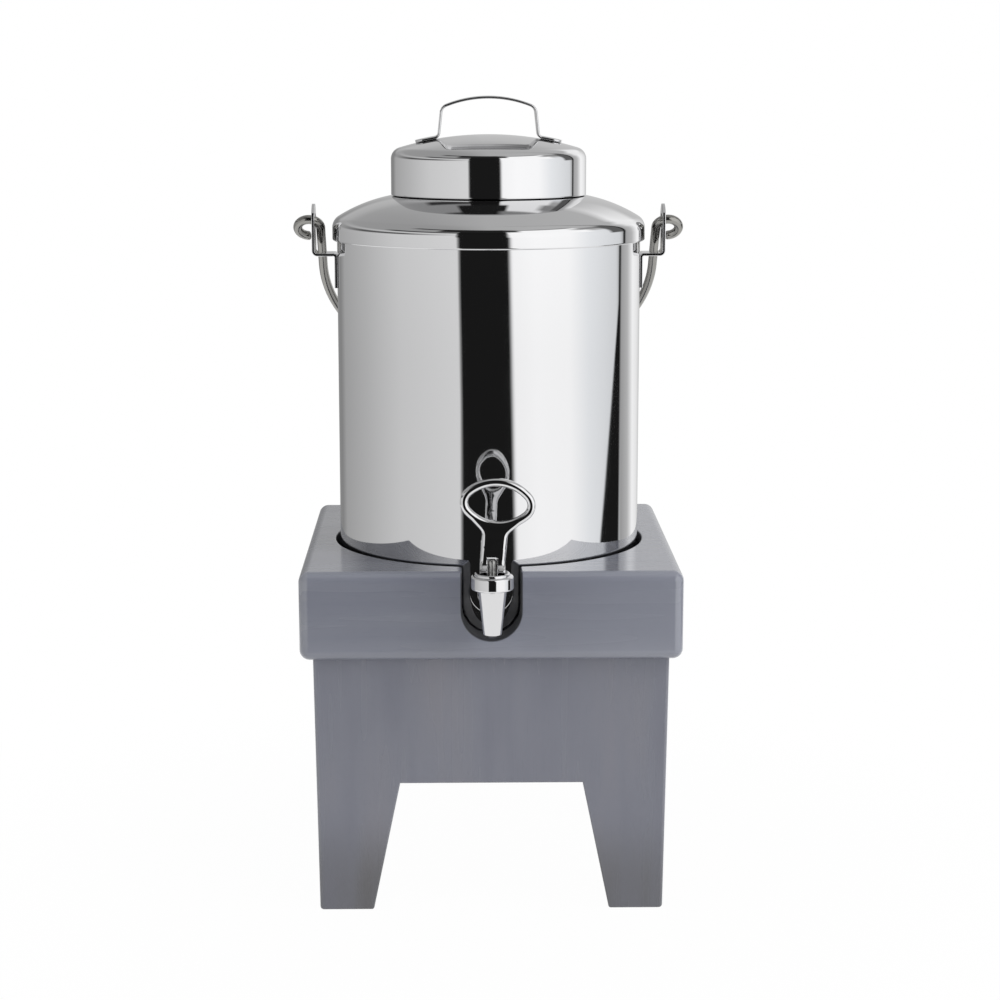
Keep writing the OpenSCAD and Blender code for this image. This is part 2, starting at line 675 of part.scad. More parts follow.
placed() top_board();
placed() front_panel();
placed() back_panel();
placed() left_panel();
placed() right_panel();
placed() dowels();
placed() can_body();
placed() can_shoulder();
placed() left_ear();
placed() right_ear();
placed() tap_body();
placed() tap_washer();
placed() outer_gasket();
placed() inner_gasket();
placed() tap_nut();
placed() tap_bonnet();
placed() tap_spring();
placed() tap_stem();
placed() seat_cup();
placed() lever_pin();
placed() tap_lever();
placed() lid_cap();
placed() lid_plug();
placed() lid_seal();
placed() lid_handle();
placed() bail();
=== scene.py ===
# %% [markdown]
# # A milk dispenser for a buffet
# A mirror-polished steel can with a lid, a wire carrying handle and a small self-closing tap stands in
# a pocket of a square stand of stained wood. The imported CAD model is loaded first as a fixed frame:
# its bodies say what moves with what, and each piece made here stands for one of its nodes.

# %% Load the frame
from math import acos, asin, atan2, copysign, cos, degrees, dist, hypot, pi, radians, sin, sqrt, tan

import bmesh
import bpy
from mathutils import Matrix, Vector
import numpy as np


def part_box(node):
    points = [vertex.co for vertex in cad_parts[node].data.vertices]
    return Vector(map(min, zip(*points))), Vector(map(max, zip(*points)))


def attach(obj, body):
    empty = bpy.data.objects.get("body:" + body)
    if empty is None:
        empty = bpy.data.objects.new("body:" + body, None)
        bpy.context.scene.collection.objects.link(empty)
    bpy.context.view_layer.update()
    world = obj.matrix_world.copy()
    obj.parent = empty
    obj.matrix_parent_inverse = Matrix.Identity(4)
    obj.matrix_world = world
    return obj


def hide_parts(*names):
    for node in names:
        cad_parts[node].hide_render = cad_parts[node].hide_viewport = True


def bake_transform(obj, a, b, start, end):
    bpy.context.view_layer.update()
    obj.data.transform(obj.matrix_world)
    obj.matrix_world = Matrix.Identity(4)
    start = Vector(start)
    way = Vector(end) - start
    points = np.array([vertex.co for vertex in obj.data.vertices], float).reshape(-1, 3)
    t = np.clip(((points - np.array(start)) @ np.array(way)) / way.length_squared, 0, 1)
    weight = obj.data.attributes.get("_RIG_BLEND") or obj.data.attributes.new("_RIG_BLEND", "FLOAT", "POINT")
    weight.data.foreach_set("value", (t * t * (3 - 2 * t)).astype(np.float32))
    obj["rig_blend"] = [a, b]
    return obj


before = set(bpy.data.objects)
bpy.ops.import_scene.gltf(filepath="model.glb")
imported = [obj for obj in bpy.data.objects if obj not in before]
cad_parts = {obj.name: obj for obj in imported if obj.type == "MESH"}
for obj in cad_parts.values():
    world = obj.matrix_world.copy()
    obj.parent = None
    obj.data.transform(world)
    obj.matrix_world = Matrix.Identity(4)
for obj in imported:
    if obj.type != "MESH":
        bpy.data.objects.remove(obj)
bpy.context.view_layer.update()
scene = bpy.context.scene
scene.view_settings.view_transform = "Standard"

# %% [markdown]
# ## Sizes
# Lengths below are in millimetres about the axis of the can, as a drawing of the part would give them.
# The main ones are read off the boxes of the CAD nodes, so the dressed part follows the frame. The axis
# of the can stands a little behind the origin, because the origin is under the middle of the whole
# object, tap included. `place` turns a drawing point into Blender's metres.

# %% Sizes that many pieces share
MM = 0.001


def corners(node):
    low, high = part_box(node)
    return [round(v / MM, 2) for v in low], [round(v / MM, 2) for v in high]


board_low, board_high = corners("top_board")
AXIS_Y = (board_low[1] + board_high[1]) / 2
BOARD_W, LEG_H, BOARD_TOP = 2 * board_high[0], board_low[2], board_high[2]
can_low, can_high = corners("can_body")
CAN_R, BASE_Z, WALL_TOP, SHEET = can_high[0], can_low[2], can_high[2], 1.0
band_low, band_high = corners("can_shoulder")
BAND_R, BAND_Z, NECK_TOP = band_high[0], band_low[2], band_high[2]
lid_low, lid_high = corners("lid_cap")
LID_R, LID_Z, LID_TOP = lid_high[0], lid_low[2], lid_high[2]
bonnet_low, bonnet_high = corners("tap_bonnet")
TAP_Y = (bonnet_low[1] + bonnet_high[1]) / 2 - AXIS_Y
pin_low, pin_high = corners("lever_pin")
PIN_Z = (pin_low[2] + pin_high[2]) / 2
POCKET_R, SLOT_W = CAN_R + 2.6, 34.4
PIPE_Z, PIPE_R = 193.0, 7.0
HOLE_Z, EAR_X, EAR_T, WIRE_R = 403.7, 106.6, 1.8, 2.75
# room between two pieces that lie against each other
FIT = 0.05
print("can radius", CAN_R, "lid radius", LID_R, "tap at", TAP_Y, "pin at", PIN_Z)


def place(p):
    return Vector((p[0] * MM, (p[1] + AXIS_Y) * MM, p[2] * MM))


# %% [markdown]
# ## The camera
# The photograph was taken from straight in front and a little above. Its lens and place were found by
# fitting the outline of the stand, the can and the lid.


# %% Camera
def added(name, data):
    piece = bpy.data.objects.new(name, data)
    scene.collection.objects.link(piece)
    return piece


camera = added("camera", bpy.data.cameras.new("camera"))
scene.camera = camera
camera.location = (-0.01945, -1.39202, 0.48854)
camera.rotation_euler = (radians(79.64), 0, radians(-1.07))
camera.data.lens = 82.94
camera.data.sensor_width = 36
print("camera at", tuple(round(v, 3) for v in camera.location))

# %% [markdown]
# ## Colours and nodes
# Colours are written as sRGB hex values, as a paint chart gives them, and Blender's shaders want them
# linear. One small function puts a node in a tree, with its settings and what feeds its sockets.


# %% Colour and node helpers
def linear(code, alpha=1.0):
    parts = [int(code[i:i + 2], 16) / 255 for i in (1, 3, 5)]
    return tuple(c / 12.92 if c <= 0.04045 else ((c + 0.055) / 1.055) ** 2.4 for c in parts) + (alpha,)


def put(tree, kind, feeds=None, **settings):
    node = tree.nodes.new(kind)
    for key, value in settings.items():
        setattr(node, key, value)
    for key, value in (feeds or {}).items():
        socket = node.inputs[key]
        if isinstance(value, bpy.types.NodeSocket):
            tree.links.new(value, socket)
        else:
            socket.default_value = value
    return node


def shader(name):
    material = bpy.data.materials.new(name)
    material.use_nodes = True
    tree = material.node_tree
    tree.nodes.clear()
    return material, tree


def stops(ramp, pairs, interpolation="LINEAR"):
    ramp.color_ramp.interpolation = interpolation
    elements = ramp.color_ramp.elements
    while len(elements) < len(pairs):
        elements.new(0.5)
    for element, (position, colour) in zip(elements, pairs):
        element.position = position
        element.color = colour if len(colour) == 4 else (*colour, 1.0)


# %% [markdown]
# ## The studio
# Polished steel has no colour of its own: it shows the room. The room here is a photographer's white
# one, and the world gives it by direction. Angles are measured round from the camera's side, to the
# right, and heights are the sine of the ray's rise. A large soft panel stands at each side, the right
# one brighter and taller. Between them is the dark gap where the camera stands: it is the black upright
# stripe on the can. Dark flags stand behind the right panel and above the left one, under a grey
# ceiling. Camera rays see plain white, which is the background.

# %% World
world = bpy.data.worlds.new("studio")
scene.world = world
world.use_nodes = True
room = world.node_tree
room.nodes.clear()
ray = put(room, "ShaderNodeSeparateXYZ", {0: put(room, "ShaderNodeTexCoord").outputs["Generated"]})
rise = ray.outputs["Z"]
front = put(room, "ShaderNodeMath", {0: ray.outputs["Y"], 1: -1.0}, operation="MULTIPLY")
round_by = put(room, "ShaderNodeMath", {0: ray.outputs["X"], 1: front.outputs[0]}, operation="ARCTAN2")
angle = put(room, "ShaderNodeMath", {0: round_by.outputs[0], 1: 180 / pi}, operation="MULTIPLY").outputs[0]


def at(degree):
    return (degree + 180) / 360


def grey(value, tint=(1.0, 1.0, 1.0)):
    return tuple(value * t for t in tint) + (1.0,)


# %% [markdown]
# The walls come from one ramp round the object. The panels' edges lean a little, so the angle is shifted
# with the height of the ray before the ramp is read.

# %% Walls round the object
COOL = (0.98, 1.0, 1.02)
DARK = grey(0.012)
lean_left = put(room, "ShaderNodeMapRange", {
    "Value": rise, "From Min": -0.14, "From Max": -0.03, "To Min": 0.0, "To Max": 2.7})
lean_right = put(room, "ShaderNodeMapRange", {
    "Value": rise, "From Min": -0.25, "From Max": -0.03, "To Min": -5.1, "To Max": 2.7})
on_right = put(room, "ShaderNodeMath", {0: angle, 1: 0.0}, operation="GREATER_THAN")
lean = put(room, "ShaderNodeMix", {0: on_right.outputs[0], 2: lean_left.outputs[0], 3: lean_right.outputs[0]})
leaned = put(room, "ShaderNodeMath", {0: lean.outputs[0], 1: angle}, operation="ADD")
share = put(room, "ShaderNodeMapRange", {"Value": leaned.outputs[0], "From Min": -180, "From Max": 180})
around = put(room, "ShaderNodeValToRGB", {0: share.outputs[0]})
stops(around, [
    (at(-180), grey(0.56)), (at(-150), grey(0.40)), (at(-105), grey(0.57)), (at(-70), grey(0.74)),
    (at(-22.4), grey(0.84)), (at(-20.4), DARK), (at(14.6), DARK), (at(17.4), grey(1.18)),
    (at(35), grey(1.24)), (at(62), grey(1.22)), (at(80), grey(1.03, COOL)), (at(112), grey(0.84, COOL)),
    (at(118), grey(0.42)), (at(130), grey(0.58)), (at(141), grey(1.12)), (at(153), grey(0.95)),
    (at(169), grey(0.56)), (at(180), grey(0.56)),
])
upper = put(room, "ShaderNodeMapRange", {
    "Value": rise, "From Min": -0.12, "From Max": -0.05, "To Min": 1.0, "To Max": 1.07})
walls = put(room, "ShaderNodeVectorMath", {
    0: around.outputs["Color"], 3: upper.outputs[0]}, operation="SCALE")
print("walls:", len(around.color_ramp.elements), "stops")

# %% [markdown]
# The ceiling is grey. On top of walls and ceiling come a few cards, each a rectangle of directions with
# soft edges: the upper part of the right panel and of the gap, and the dark flags.

# %% Ceiling and cards
ceiling_side = put(room, "ShaderNodeMapRange", {
    "Value": ray.outputs["X"], "From Min": -0.4, "From Max": 0.4})
ceiling = put(room, "ShaderNodeValToRGB", {0: ceiling_side.outputs[0]})
stops(ceiling, [(0.0, grey(0.40)), (0.18, grey(0.42)), (0.5, grey(0.53)), (1.0, grey(0.57))])
over = put(room, "ShaderNodeMapRange", {"Value": rise, "From Min": 0.36, "From Max": 0.46})
scene_so_far = put(room, "ShaderNodeMix", {
    0: over.outputs[0], 6: walls.outputs[0], 7: ceiling.outputs["Color"]}, data_type="RGBA").outputs[2]
CARDS = [
    # left and right edge in degrees, lower and upper edge, softness in degrees and in height, level
    (13.2, 84, 0.30, 0.73, 8, 0.05, 1.30),  # upper part of the right panel
    (-130, -43, 0.12, 0.29, 46, 0.08, 0.11),  # dark wall above the left panel
    (-85, -19, 0.44, 0.54, 12, 0.04, 0.05),  # flag high on the left
    (-75, -19, 0.74, 0.81, 12, 0.03, 0.06),  # a second flag above it
    (-24.2, 13.2, 0.30, 0.81, 2, 0.03, 0.012),  # upper part of the gap
    (-43, 25, 0.58, 0.81, 6, 0.05, 0.02),  # dark piece across the gap
    (-174, -148, -0.5, 0.21, 12, 0.08, 0.27),  # grey wall behind, on the left
    (74, 104, 0.54, 0.68, 14, 0.05, 0.36),  # grey flag at the far end of the right panel
    (100, 117, 0.02, 0.66, 5, 0.06, 0.14),  # dark flag beside the right panel
    (16, 80, 0.73, 0.79, 10, 0.03, 0.34),  # grey edge on top of the right panel
    (130, 164, 0.30, 0.57, 14, 0.08, 1.10),  # white card behind, on the right
]
for left, right, low, high, soft, feather, level in CARDS:
    cover = 1.0
    for value, edge, blur in (
            (angle, left, soft), (angle, right, -soft), (rise, low, feather), (rise, high, -feather)):
        inside = put(room, "ShaderNodeMapRange", {
            "Value": value, "From Min": edge - blur / 2, "From Max": edge + blur / 2})
        both = put(room, "ShaderNodeMath", {0: cover, 1: inside.outputs[0]}, operation="MULTIPLY")
        cover = both.outputs[0]
    scene_so_far = put(room, "ShaderNodeMix", {
        0: cover, 6: scene_so_far, 7: grey(level)}, data_type="RGBA").outputs[2]
print("cards:", len(CARDS))

# %% [markdown]
# One more flag beside the right panel leans: its edge moves with the height of the ray. Rays that go
# steeply down meet a pale level, and camera rays see plain white.

# %% Leaning flag, floor side and background
flag_edge = put(room, "ShaderNodeMapRange", {
    "Value": rise, "From Min": -0.20, "From Max": -0.095, "To Min": 93.5, "To Max": 115.0})
past_edge = put(room, "ShaderNodeMath", {0: angle, 1: flag_edge.outputs[0]}, operation="SUBTRACT")
flag_on = put(room, "ShaderNodeMapRange", {"Value": past_edge.outputs[0], "From Min": -1.0, "From Max": 1.0})
flag_off = put(room, "ShaderNodeMapRange", {
    "Value": angle, "From Min": 117.0, "From Max": 119.4, "To Min": 1.0, "To Max": 0.0})
flag = put(room, "ShaderNodeMath", {0: flag_on.outputs[0], 1: flag_off.outputs[0]}, operation="MULTIPLY")
flagged = put(room, "ShaderNodeMix", {0: flag.outputs[0], 6: scene_so_far, 7: DARK}, data_type="RGBA")
depth = put(room, "ShaderNodeMapRange", {"Value": rise, "From Min": -0.35, "From Max": -0.7})
whole = put(room, "ShaderNodeMix", {
    0: depth.outputs[0], 6: flagged.outputs[2], 7: grey(0.85)}, data_type="RGBA")
seen = put(room, "ShaderNodeLightPath")
shown = put(room, "ShaderNodeMix", {
    0: seen.outputs["Is Camera Ray"], 6: whole.outputs[2], 7: grey(1.0)}, data_type="RGBA")
sky = put(room, "ShaderNodeBackground", {"Color": shown.outputs[2], "Strength": 1.0})
put(room, "ShaderNodeOutputWorld", {"Surface": sky.outputs[0]})
print("world:", len(room.nodes), "nodes")

# %% [markdown]
# Two large soft boxes light the wood from above, the brighter one on the right. Mirror rays don't see
# them, because the steel already shows the panels of the world.


# %% Lamps
def softbox(name, spot, aim, size, watts):
    lamp = bpy.data.lights.new(name, "AREA")
    lamp.shape = "DISK"
    lamp.size = size
    lamp.energy = watts
    thing = added(name, lamp)
    thing.location = spot
    thing.rotation_euler = (Vector(aim) - Vector(spot)).to_track_quat("-Z", "Y").to_euler()
    thing.visible_glossy = False


softbox("key_softbox", (1.1, -0.7, 1.7), (0, 0, 0.25), 1.0, 9)
softbox("fill_softbox", (-1.3, -0.9, 1.1), (0, 0, 0.2), 1.2, 4)
print("studio: world and", len(bpy.data.lights), "soft boxes")

# %% [markdown]
# The floor is a pale disc that keeps the object's soft shadow. It fades into the white background, so
# no edge shows from any side. Mirror rays see it as white as the camera does, so the steel shows the
# same floor.

# %% Floor
FLOOR_R, FLOOR_DROP, FADE_FROM, FADE_TO = 0.75, 0.0002, 0.16, 0.45
bm = bmesh.new()
bmesh.ops.create_circle(bm, cap_ends=True, segments=96, radius=FLOOR_R)
floor_mesh = bpy.data.meshes.new("floor")
bm.to_mesh(floor_mesh)
bm.free()
floor = added("floor", floor_mesh)
floor.location.z = -FLOOR_DROP
pale_floor, tree = shader("pale_floor")
spot = put(tree, "ShaderNodeTexCoord")
far = put(tree, "ShaderNodeVectorMath", {0: spot.outputs["Object"]}, operation="LENGTH")
fade = put(tree, "ShaderNodeMapRange", {
    "Value": far.outputs["Value"], "From Min": FADE_FROM, "From Max": FADE_TO,
    "To Min": 0.982, "To Max": 1.0}, interpolation_type="SMOOTHSTEP")
path = put(tree, "ShaderNodeLightPath")
mirrored = put(tree, "ShaderNodeMath", {
    0: path.outputs["Is Glossy Ray"], 1: path.outputs["Is Transmission Ray"]}, operation="MAXIMUM")
looked_at = put(tree, "ShaderNodeMath", {
    0: path.outputs["Is Camera Ray"], 1: mirrored.outputs[0]}, operation="MAXIMUM")
white = put(tree, "ShaderNodeMath", {0: looked_at.outputs[0], 1: fade.outputs[0]}, operation="MULTIPLY")
matt = put(tree, "ShaderNodeBsdfDiffuse", {"Color": linear("#EDEDEC")})
glow = put(tree, "ShaderNodeEmission", {"Color": (1, 1, 1, 1), "Strength": 1.0})
both = put(tree, "ShaderNodeMixShader", {0: white.outputs[0], 1: matt.outputs[0], 2: glow.outputs[0]})
put(tree, "ShaderNodeOutputMaterial", {"Surface": both.outputs[0]})
floor_mesh.materials.append(pale_floor)
print("floor:", 2 * FLOOR_R, "m across")

# %% [markdown]
# ## Finishes
# Mirror-polished stainless steel is a metal with a roughness of a few hundredths. Handling and washing
# leave a faint haze in patches a few centimetres wide, and the buffing wheel leaves a slight waviness
# that bends straight reflections a little. Both are kept low, because the real can is new and clean.
# The wire of the carrying handle is drawn and not buffed, so it is duller and darker.


# %% Polished stainless steel
def polished_steel(name, tone, smooth, haze, wave_mm, depth_mm):
    material, tree = shader(name)
    spot = put(tree, "ShaderNodeTexCoord")
    patches = put(tree, "ShaderNodeTexNoise", {
        "Vector": spot.outputs["Object"], "Scale": 1 / 0.045, "Detail": 3.0, "Roughness": 0.55})
    rough = put(tree, "ShaderNodeMapRange", {
        "Value": patches.outputs["Fac"], "From Min": 0.35, "From Max": 0.7, "To Min": smooth, "To Max": haze})
    wave = put(tree, "ShaderNodeTexNoise", {
        "Vector": spot.outputs["Object"], "Scale": 1000 / wave_mm, "Detail": 1.0})
    bump = put(tree, "ShaderNodeBump", {
        "Height": wave.outputs["Fac"], "Strength": 1.0, "Distance": depth_mm * MM})
    surface = put(tree, "ShaderNodeBsdfPrincipled", {
        "Base Color": linear(tone), "Metallic": 1.0, "Roughness": rough.outputs[0],
        "Normal": bump.outputs[0]})
    put(tree, "ShaderNodeOutputMaterial", {"Surface": surface.outputs[0]})
    return material


mirror_steel = polished_steel("mirror_polished_stainless", "#DBDBDC", 0.025, 0.06, 70, 0.05)
drawn_wire = polished_steel("drawn_stainless_wire", "#9B9A96", 0.10, 0.17, 9, 0.004)
print(mirror_steel.name, "and", drawn_wire.name)

# %% [markdown]
# Steel that doesn't show, such as the nut and the ring under the lid, is left as it came off the lathe:
# fine turning lines about 0.6 mm apart, drawn as rings round each piece's height.

# %% Turned stainless steel
turned_steel, tree = shader("turned_stainless")
spot = put(tree, "ShaderNodeTexCoord")
fine = put(tree, "ShaderNodeMapping", {
    "Vector": spot.outputs["Object"], "Scale": (60.0, 60.0, 1 / 0.0006)})
lines = put(tree, "ShaderNodeTexNoise", {"Vector": fine.outputs[0], "Scale": 1.0, "Detail": 2.0})
rough = put(tree, "ShaderNodeMapRange", {"Value": lines.outputs["Fac"], "To Min": 0.24, "To Max": 0.40})
bump = put(tree, "ShaderNodeBump", {"Height": lines.outputs["Fac"], "Strength": 0.5, "Distance": 0.02 * MM})
surface = put(tree, "ShaderNodeBsdfPrincipled", {
    "Base Color": linear("#B4B4B2"), "Metallic": 1.0, "Roughness": rough.outputs[0],
    "Normal": bump.outputs[0]})
put(tree, "ShaderNodeOutputMaterial", {"Surface": surface.outputs[0]})
print(turned_steel.name)

# %% [markdown]
# The stand is beech, stained blue-grey and finished with a smooth varnish. The stain hides most of the
# figure: what is left is a slow drift of tone across the boards, faint streaks along the grain a few
# millimetres wide, and short darker pores. The grain of the board runs from side to side and that of
# the leg panels runs upright. Two attributes on the mesh say where the surface differs: `rub`, on
# rounded edges, where the stain is rubbed a little thinner, and `cut`, on the faces inside the pocket
# and the slot, which are painted dark as painted shade of the deep recess, and left duller. The panels
# are coloured darker towards their feet, and the board is painted paler towards its right end, a
# painted light where the key lamp falls.


# %% Stained wood
def stained_wood(name, along, tones_hex, painted_light_right, gloss):
    material, tree = shader(name)
    spot = put(tree, "ShaderNodeTexCoord").outputs["Object"]
    grain_turn = {"x": (0.0, 0.0, 0.0), "z": (0.0, radians(90), 0.0)}[along]
    turned = put(tree, "ShaderNodeMapping", {"Vector": spot, "Rotation": grain_turn})

    def streaks(across_mm, length, detail):
        fibre = put(tree, "ShaderNodeMapping", {
            "Vector": turned.outputs[0], "Scale": (1 / length, 1.0, 1.0)})
        return put(tree, "ShaderNodeTexNoise", {
            "Vector": fibre.outputs[0], "Scale": 1000 / across_mm, "Detail": detail, "Roughness": 0.6})

    drift = streaks(42, 4, 2.0)
    figure = streaks(9, 16, 1.0)
    pores = streaks(0.9, 16, 2.0)
    mixed = put(tree, "ShaderNodeMath", {
        0: figure.outputs["Fac"], 1: 0.35, 2: drift.outputs["Fac"]}, operation="MULTIPLY_ADD")
    level = put(tree, "ShaderNodeMapRange", {"Value": mixed.outputs[0], "From Min": 0.48, "From Max": 0.88})
    tones = put(tree, "ShaderNodeValToRGB", {0: level.outputs[0]})
    stops(tones, [(i / (len(tones_hex) - 1), linear(code)) for i, code in enumerate(tones_hex)])
    pit = put(tree, "ShaderNodeMapRange", {
        "Value": pores.outputs["Fac"], "From Min": 0.60, "From Max": 0.72, "To Min": 0.0, "To Max": 0.10})
    pored = put(tree, "ShaderNodeMix", {
        0: pit.outputs[0], 6: tones.outputs[0], 7: linear("#5F626E")}, data_type="RGBA")
    worn = put(tree, "ShaderNodeAttribute", attribute_name="rub")
    rub_level = put(tree, "ShaderNodeMapRange", {
        "Value": figure.outputs["Fac"], "From Min": 0.35, "From Max": 0.65, "To Min": 0.05, "To Max": 0.25})
    rub = put(tree, "ShaderNodeMath", {0: worn.outputs["Fac"], 1: rub_level.outputs[0]}, operation="MULTIPLY")
    rubbed = put(tree, "ShaderNodeMix", {
        0: rub.outputs[0], 6: pored.outputs[2], 7: linear("#B2B3B8")}, data_type="RGBA")
    apart = put(tree, "ShaderNodeSeparateXYZ", {0: spot})
    # painted light: the board is made paler towards its right end, where the key lamp falls
    right_light_ramp = put(tree, "ShaderNodeMapRange", {
        "Value": apart.outputs["X"], "From Min": -0.03, "From Max": 0.11, "To Min": 0.0, "To Max": painted_light_right})
    painted_right_light = put(tree, "ShaderNodeMix", {
        0: right_light_ramp.outputs[0], 6: rubbed.outputs[2], 7: linear("#9699A6")}, data_type="RGBA")
    # the panels are coloured darker towards their feet, in patches
    near_floor = put(tree, "ShaderNodeMapRange", {
        "Value": apart.outputs["Z"], "From Min": 0.012, "From Max": 0.065, "To Min": 1.0, "To Max": 0.0},
        interpolation_type="SMOOTHSTEP")
    patchy = put(tree, "ShaderNodeMath", {0: level.outputs[0], 1: 0.4, 2: 0.38}, operation="MULTIPLY_ADD")
    foot_dark_share = put(tree, "ShaderNodeMath", {
        0: near_floor.outputs[0], 1: patchy.outputs[0]}, operation="MULTIPLY")
    darker_to_feet = put(tree, "ShaderNodeMix", {
        0: foot_dark_share.outputs[0], 6: painted_right_light.outputs[2], 7: linear("#5D5C5C")}, data_type="RGBA")
    # painted shade: the faces inside the pocket and the slot are darkened, and also made duller
    inside_shade_dull = put(tree, "ShaderNodeAttribute", attribute_name="cut")
    colour = put(tree, "ShaderNodeMix", {
        0: inside_shade_dull.outputs["Fac"], 6: darker_to_feet.outputs[2], 7: linear("#37383D")}, data_type="RGBA")
    shine = put(tree, "ShaderNodeMapRange", {
        "Value": figure.outputs["Fac"], "From Min": 0.3, "From Max": 0.7, "To Min": 0.22, "To Max": 0.30})
    rough = put(tree, "ShaderNodeMath", {0: inside_shade_dull.outputs["Fac"], 1: 0.3, 2: shine.outputs[0]},
                operation="MULTIPLY_ADD")
    relief = put(tree, "ShaderNodeMath", {0: pit.outputs[0], 1: -2.0, 2: figure.outputs["Fac"]},
                 operation="MULTIPLY_ADD")
    bump = put(tree, "ShaderNodeBump", {"Height": relief.outputs[0], "Strength": 0.1, "Distance": 0.01 * MM})
    varnish = put(tree, "ShaderNodeMath", {0: inside_shade_dull.outputs["Fac"], 1: -gloss, 2: gloss},
                  operation="MULTIPLY_ADD")
    surface = put(tree, "ShaderNodeBsdfPrincipled", {
        "Base Color": colour.outputs[2], "Roughness": rough.outputs[0], "IOR": 1.5, "Normal": bump.outputs[0],
        "Coat Weight": varnish.outputs[0], "Coat Roughness": 0.09, "Coat IOR": 1.55})
    put(tree, "ShaderNodeOutputMaterial", {"Surface": surface.outputs[0]})
    return material


# the board takes a 0.9 share of painted light at its right end, the panels none
board_wood = stained_wood("stained_beech_board", "x", ["#828593", "#898C99", "#8F929E"], 0.9, 0.85)
panel_wood = stained_wood("stained_beech_upright", "z", ["#7D7F8C", "#848692", "#8A8A94"], 0.0, 0.25)
print(board_wood.name, "and", panel_wood.name)

# %% [markdown]
# The dowels inside the joints are bare beech, and the seals are food-grade silicone: soft, milky and
# slightly see-through at thin edges, with a fine matt skin from the mould.

# %% Bare beech and silicone
bare_beech, tree = shader("bare_beech")
spot = put(tree, "ShaderNodeTexCoord").outputs["Object"]
fibre = put(tree, "ShaderNodeMapping", {"Vector": spot, "Scale": (1.0, 1.0, 0.06)})
flecks = put(tree, "ShaderNodeTexNoise", {"Vector": fibre.outputs[0], "Scale": 1 / 0.0012, "Detail": 3.0})
tones = put(tree, "ShaderNodeValToRGB", {0: flecks.outputs["Fac"]})
stops(tones, [(0.3, linear("#B98F60")), (0.7, linear("#D3AE7F"))])
surface = put(tree, "ShaderNodeBsdfPrincipled", {"Base Color": tones.outputs[0], "Roughness": 0.6})
put(tree, "ShaderNodeOutputMaterial", {"Surface": surface.outputs[0]})

silicone, tree = shader("moulded_silicone")
spot = put(tree, "ShaderNodeTexCoord").outputs["Object"]
skin = put(tree, "ShaderNodeTexNoise", {"Vector": spot, "Scale": 1 / 0.0008, "Detail": 2.0})
bump = put(tree, "ShaderNodeBump", {"Height": skin.outputs["Fac"], "Strength": 0.3, "Distance": 0.02 * MM})
tones = put(tree, "ShaderNodeValToRGB", {0: skin.outputs["Fac"]})
stops(tones, [(0.3, linear("#DCDCD6")), (0.7, linear("#E6E6E1"))])
surface = put(tree, "ShaderNodeBsdfPrincipled", {
    "Base Color": tones.outputs[0], "Roughness": 0.45, "IOR": 1.41, "Subsurface Weight": 0.25,
    "Subsurface Scale": 0.002, "Normal": bump.outputs[0]})
put(tree, "ShaderNodeOutputMaterial", {"Surface": surface.outputs[0]})
print("finishes:", len(bpy.data.materials))

# %% [markdown]
# ## Making solids
# Most steel pieces here were spun or turned, so a lathe function makes them: it carries a half section
# round an axis. `rounded` gives a half section its eased corners, with a close pair of points at each
# end of a rounding, so that the long plain faces beside it reflect without a bend.


# %% Section helpers
def arc(cx, cz, r, a0, a1, step=6.0):
    count = max(2, int(abs(a1 - a0) / step) + 1)
    turns = [radians(a0 + (a1 - a0) * i / count) for i in range(count + 1)]
    return [(cx + r * cos(t), cz + r * sin(t)) for t in turns]


def rounded(corners, closed=True, steps=6, guard=0.35):
    points = []
    count = len(corners)
    for i, (x, z, r) in enumerate(corners):
        p = Vector((x, z))
        if r == 0 or (not closed and i in (0, count - 1)):
            points.append(p)
            continue
        a = Vector(corners[i - 1][:2]) - p
        b = Vector(corners[(i + 1) % count][:2]) - p
        la, lb = a.length, b.length
        a.normalize()
        b.normalize()
        half = a.angle(b) / 2
        back = r / tan(half)
        middle = p + (a + b).normalized() * (r / sin(half))
        start, end = p + a * back, p + b * back
        if la > 2 * (back + guard):
            points.append(p + a * (back + guard))
        u, v = start - middle, end - middle
        sweep = atan2(u.x * v.y - u.y * v.x, u.dot(v))
        for k in range(steps + 1):
            t = sweep * k / steps
            points.append(middle + Vector((u.x * cos(t) - u.y * sin(t), u.x * sin(t) + u.y * cos(t))))
        if lb > 2 * (back + guard):
            points.append(p + b * (back + guard))
    return [tuple(q) for q in points]


# %% Mesh helpers
WELD, CREASE = 1e-7, 38.0


def shade(bm, limit):
    """Smooth faces, but an edge that bends by more than the limit in degrees stays sharp."""
    for face in bm.faces:
        face.smooth = True
    for edge in bm.edges:
        edge.smooth = len(edge.link_faces) == 2 and edge.calc_face_angle(0) < radians(limit)


def tidy(mesh, limit=CREASE):
    bm = bmesh.new()
    bm.from_mesh(mesh)
    bmesh.ops.remove_doubles(bm, verts=bm.verts, dist=WELD)
    bmesh.ops.recalc_face_normals(bm, faces=bm.faces)
    shade(bm, limit)
    bm.to_mesh(mesh)
    bm.free()


def ring_faces(rings, count):
    """The faces of a solid made of rings of points, with a cap at each end."""
    faces = [tuple(range(count)), tuple(reversed(range((rings - 1) * count, rings * count)))]
    for start in range(0, (rings - 1) * count, count):
        for i in range(count):
            j = (i + 1) % count
            faces.append((start + i, start + j, start + count + j, start + count + i))
    return faces


def solid(name, points, faces, material, limit=CREASE):
    mesh = bpy.data.meshes.new(name)
    mesh.from_pydata([tuple(place(p)) for p in points], [], faces)
    tidy(mesh, limit)
    mesh.materials.append(material)
    return added(name, mesh)


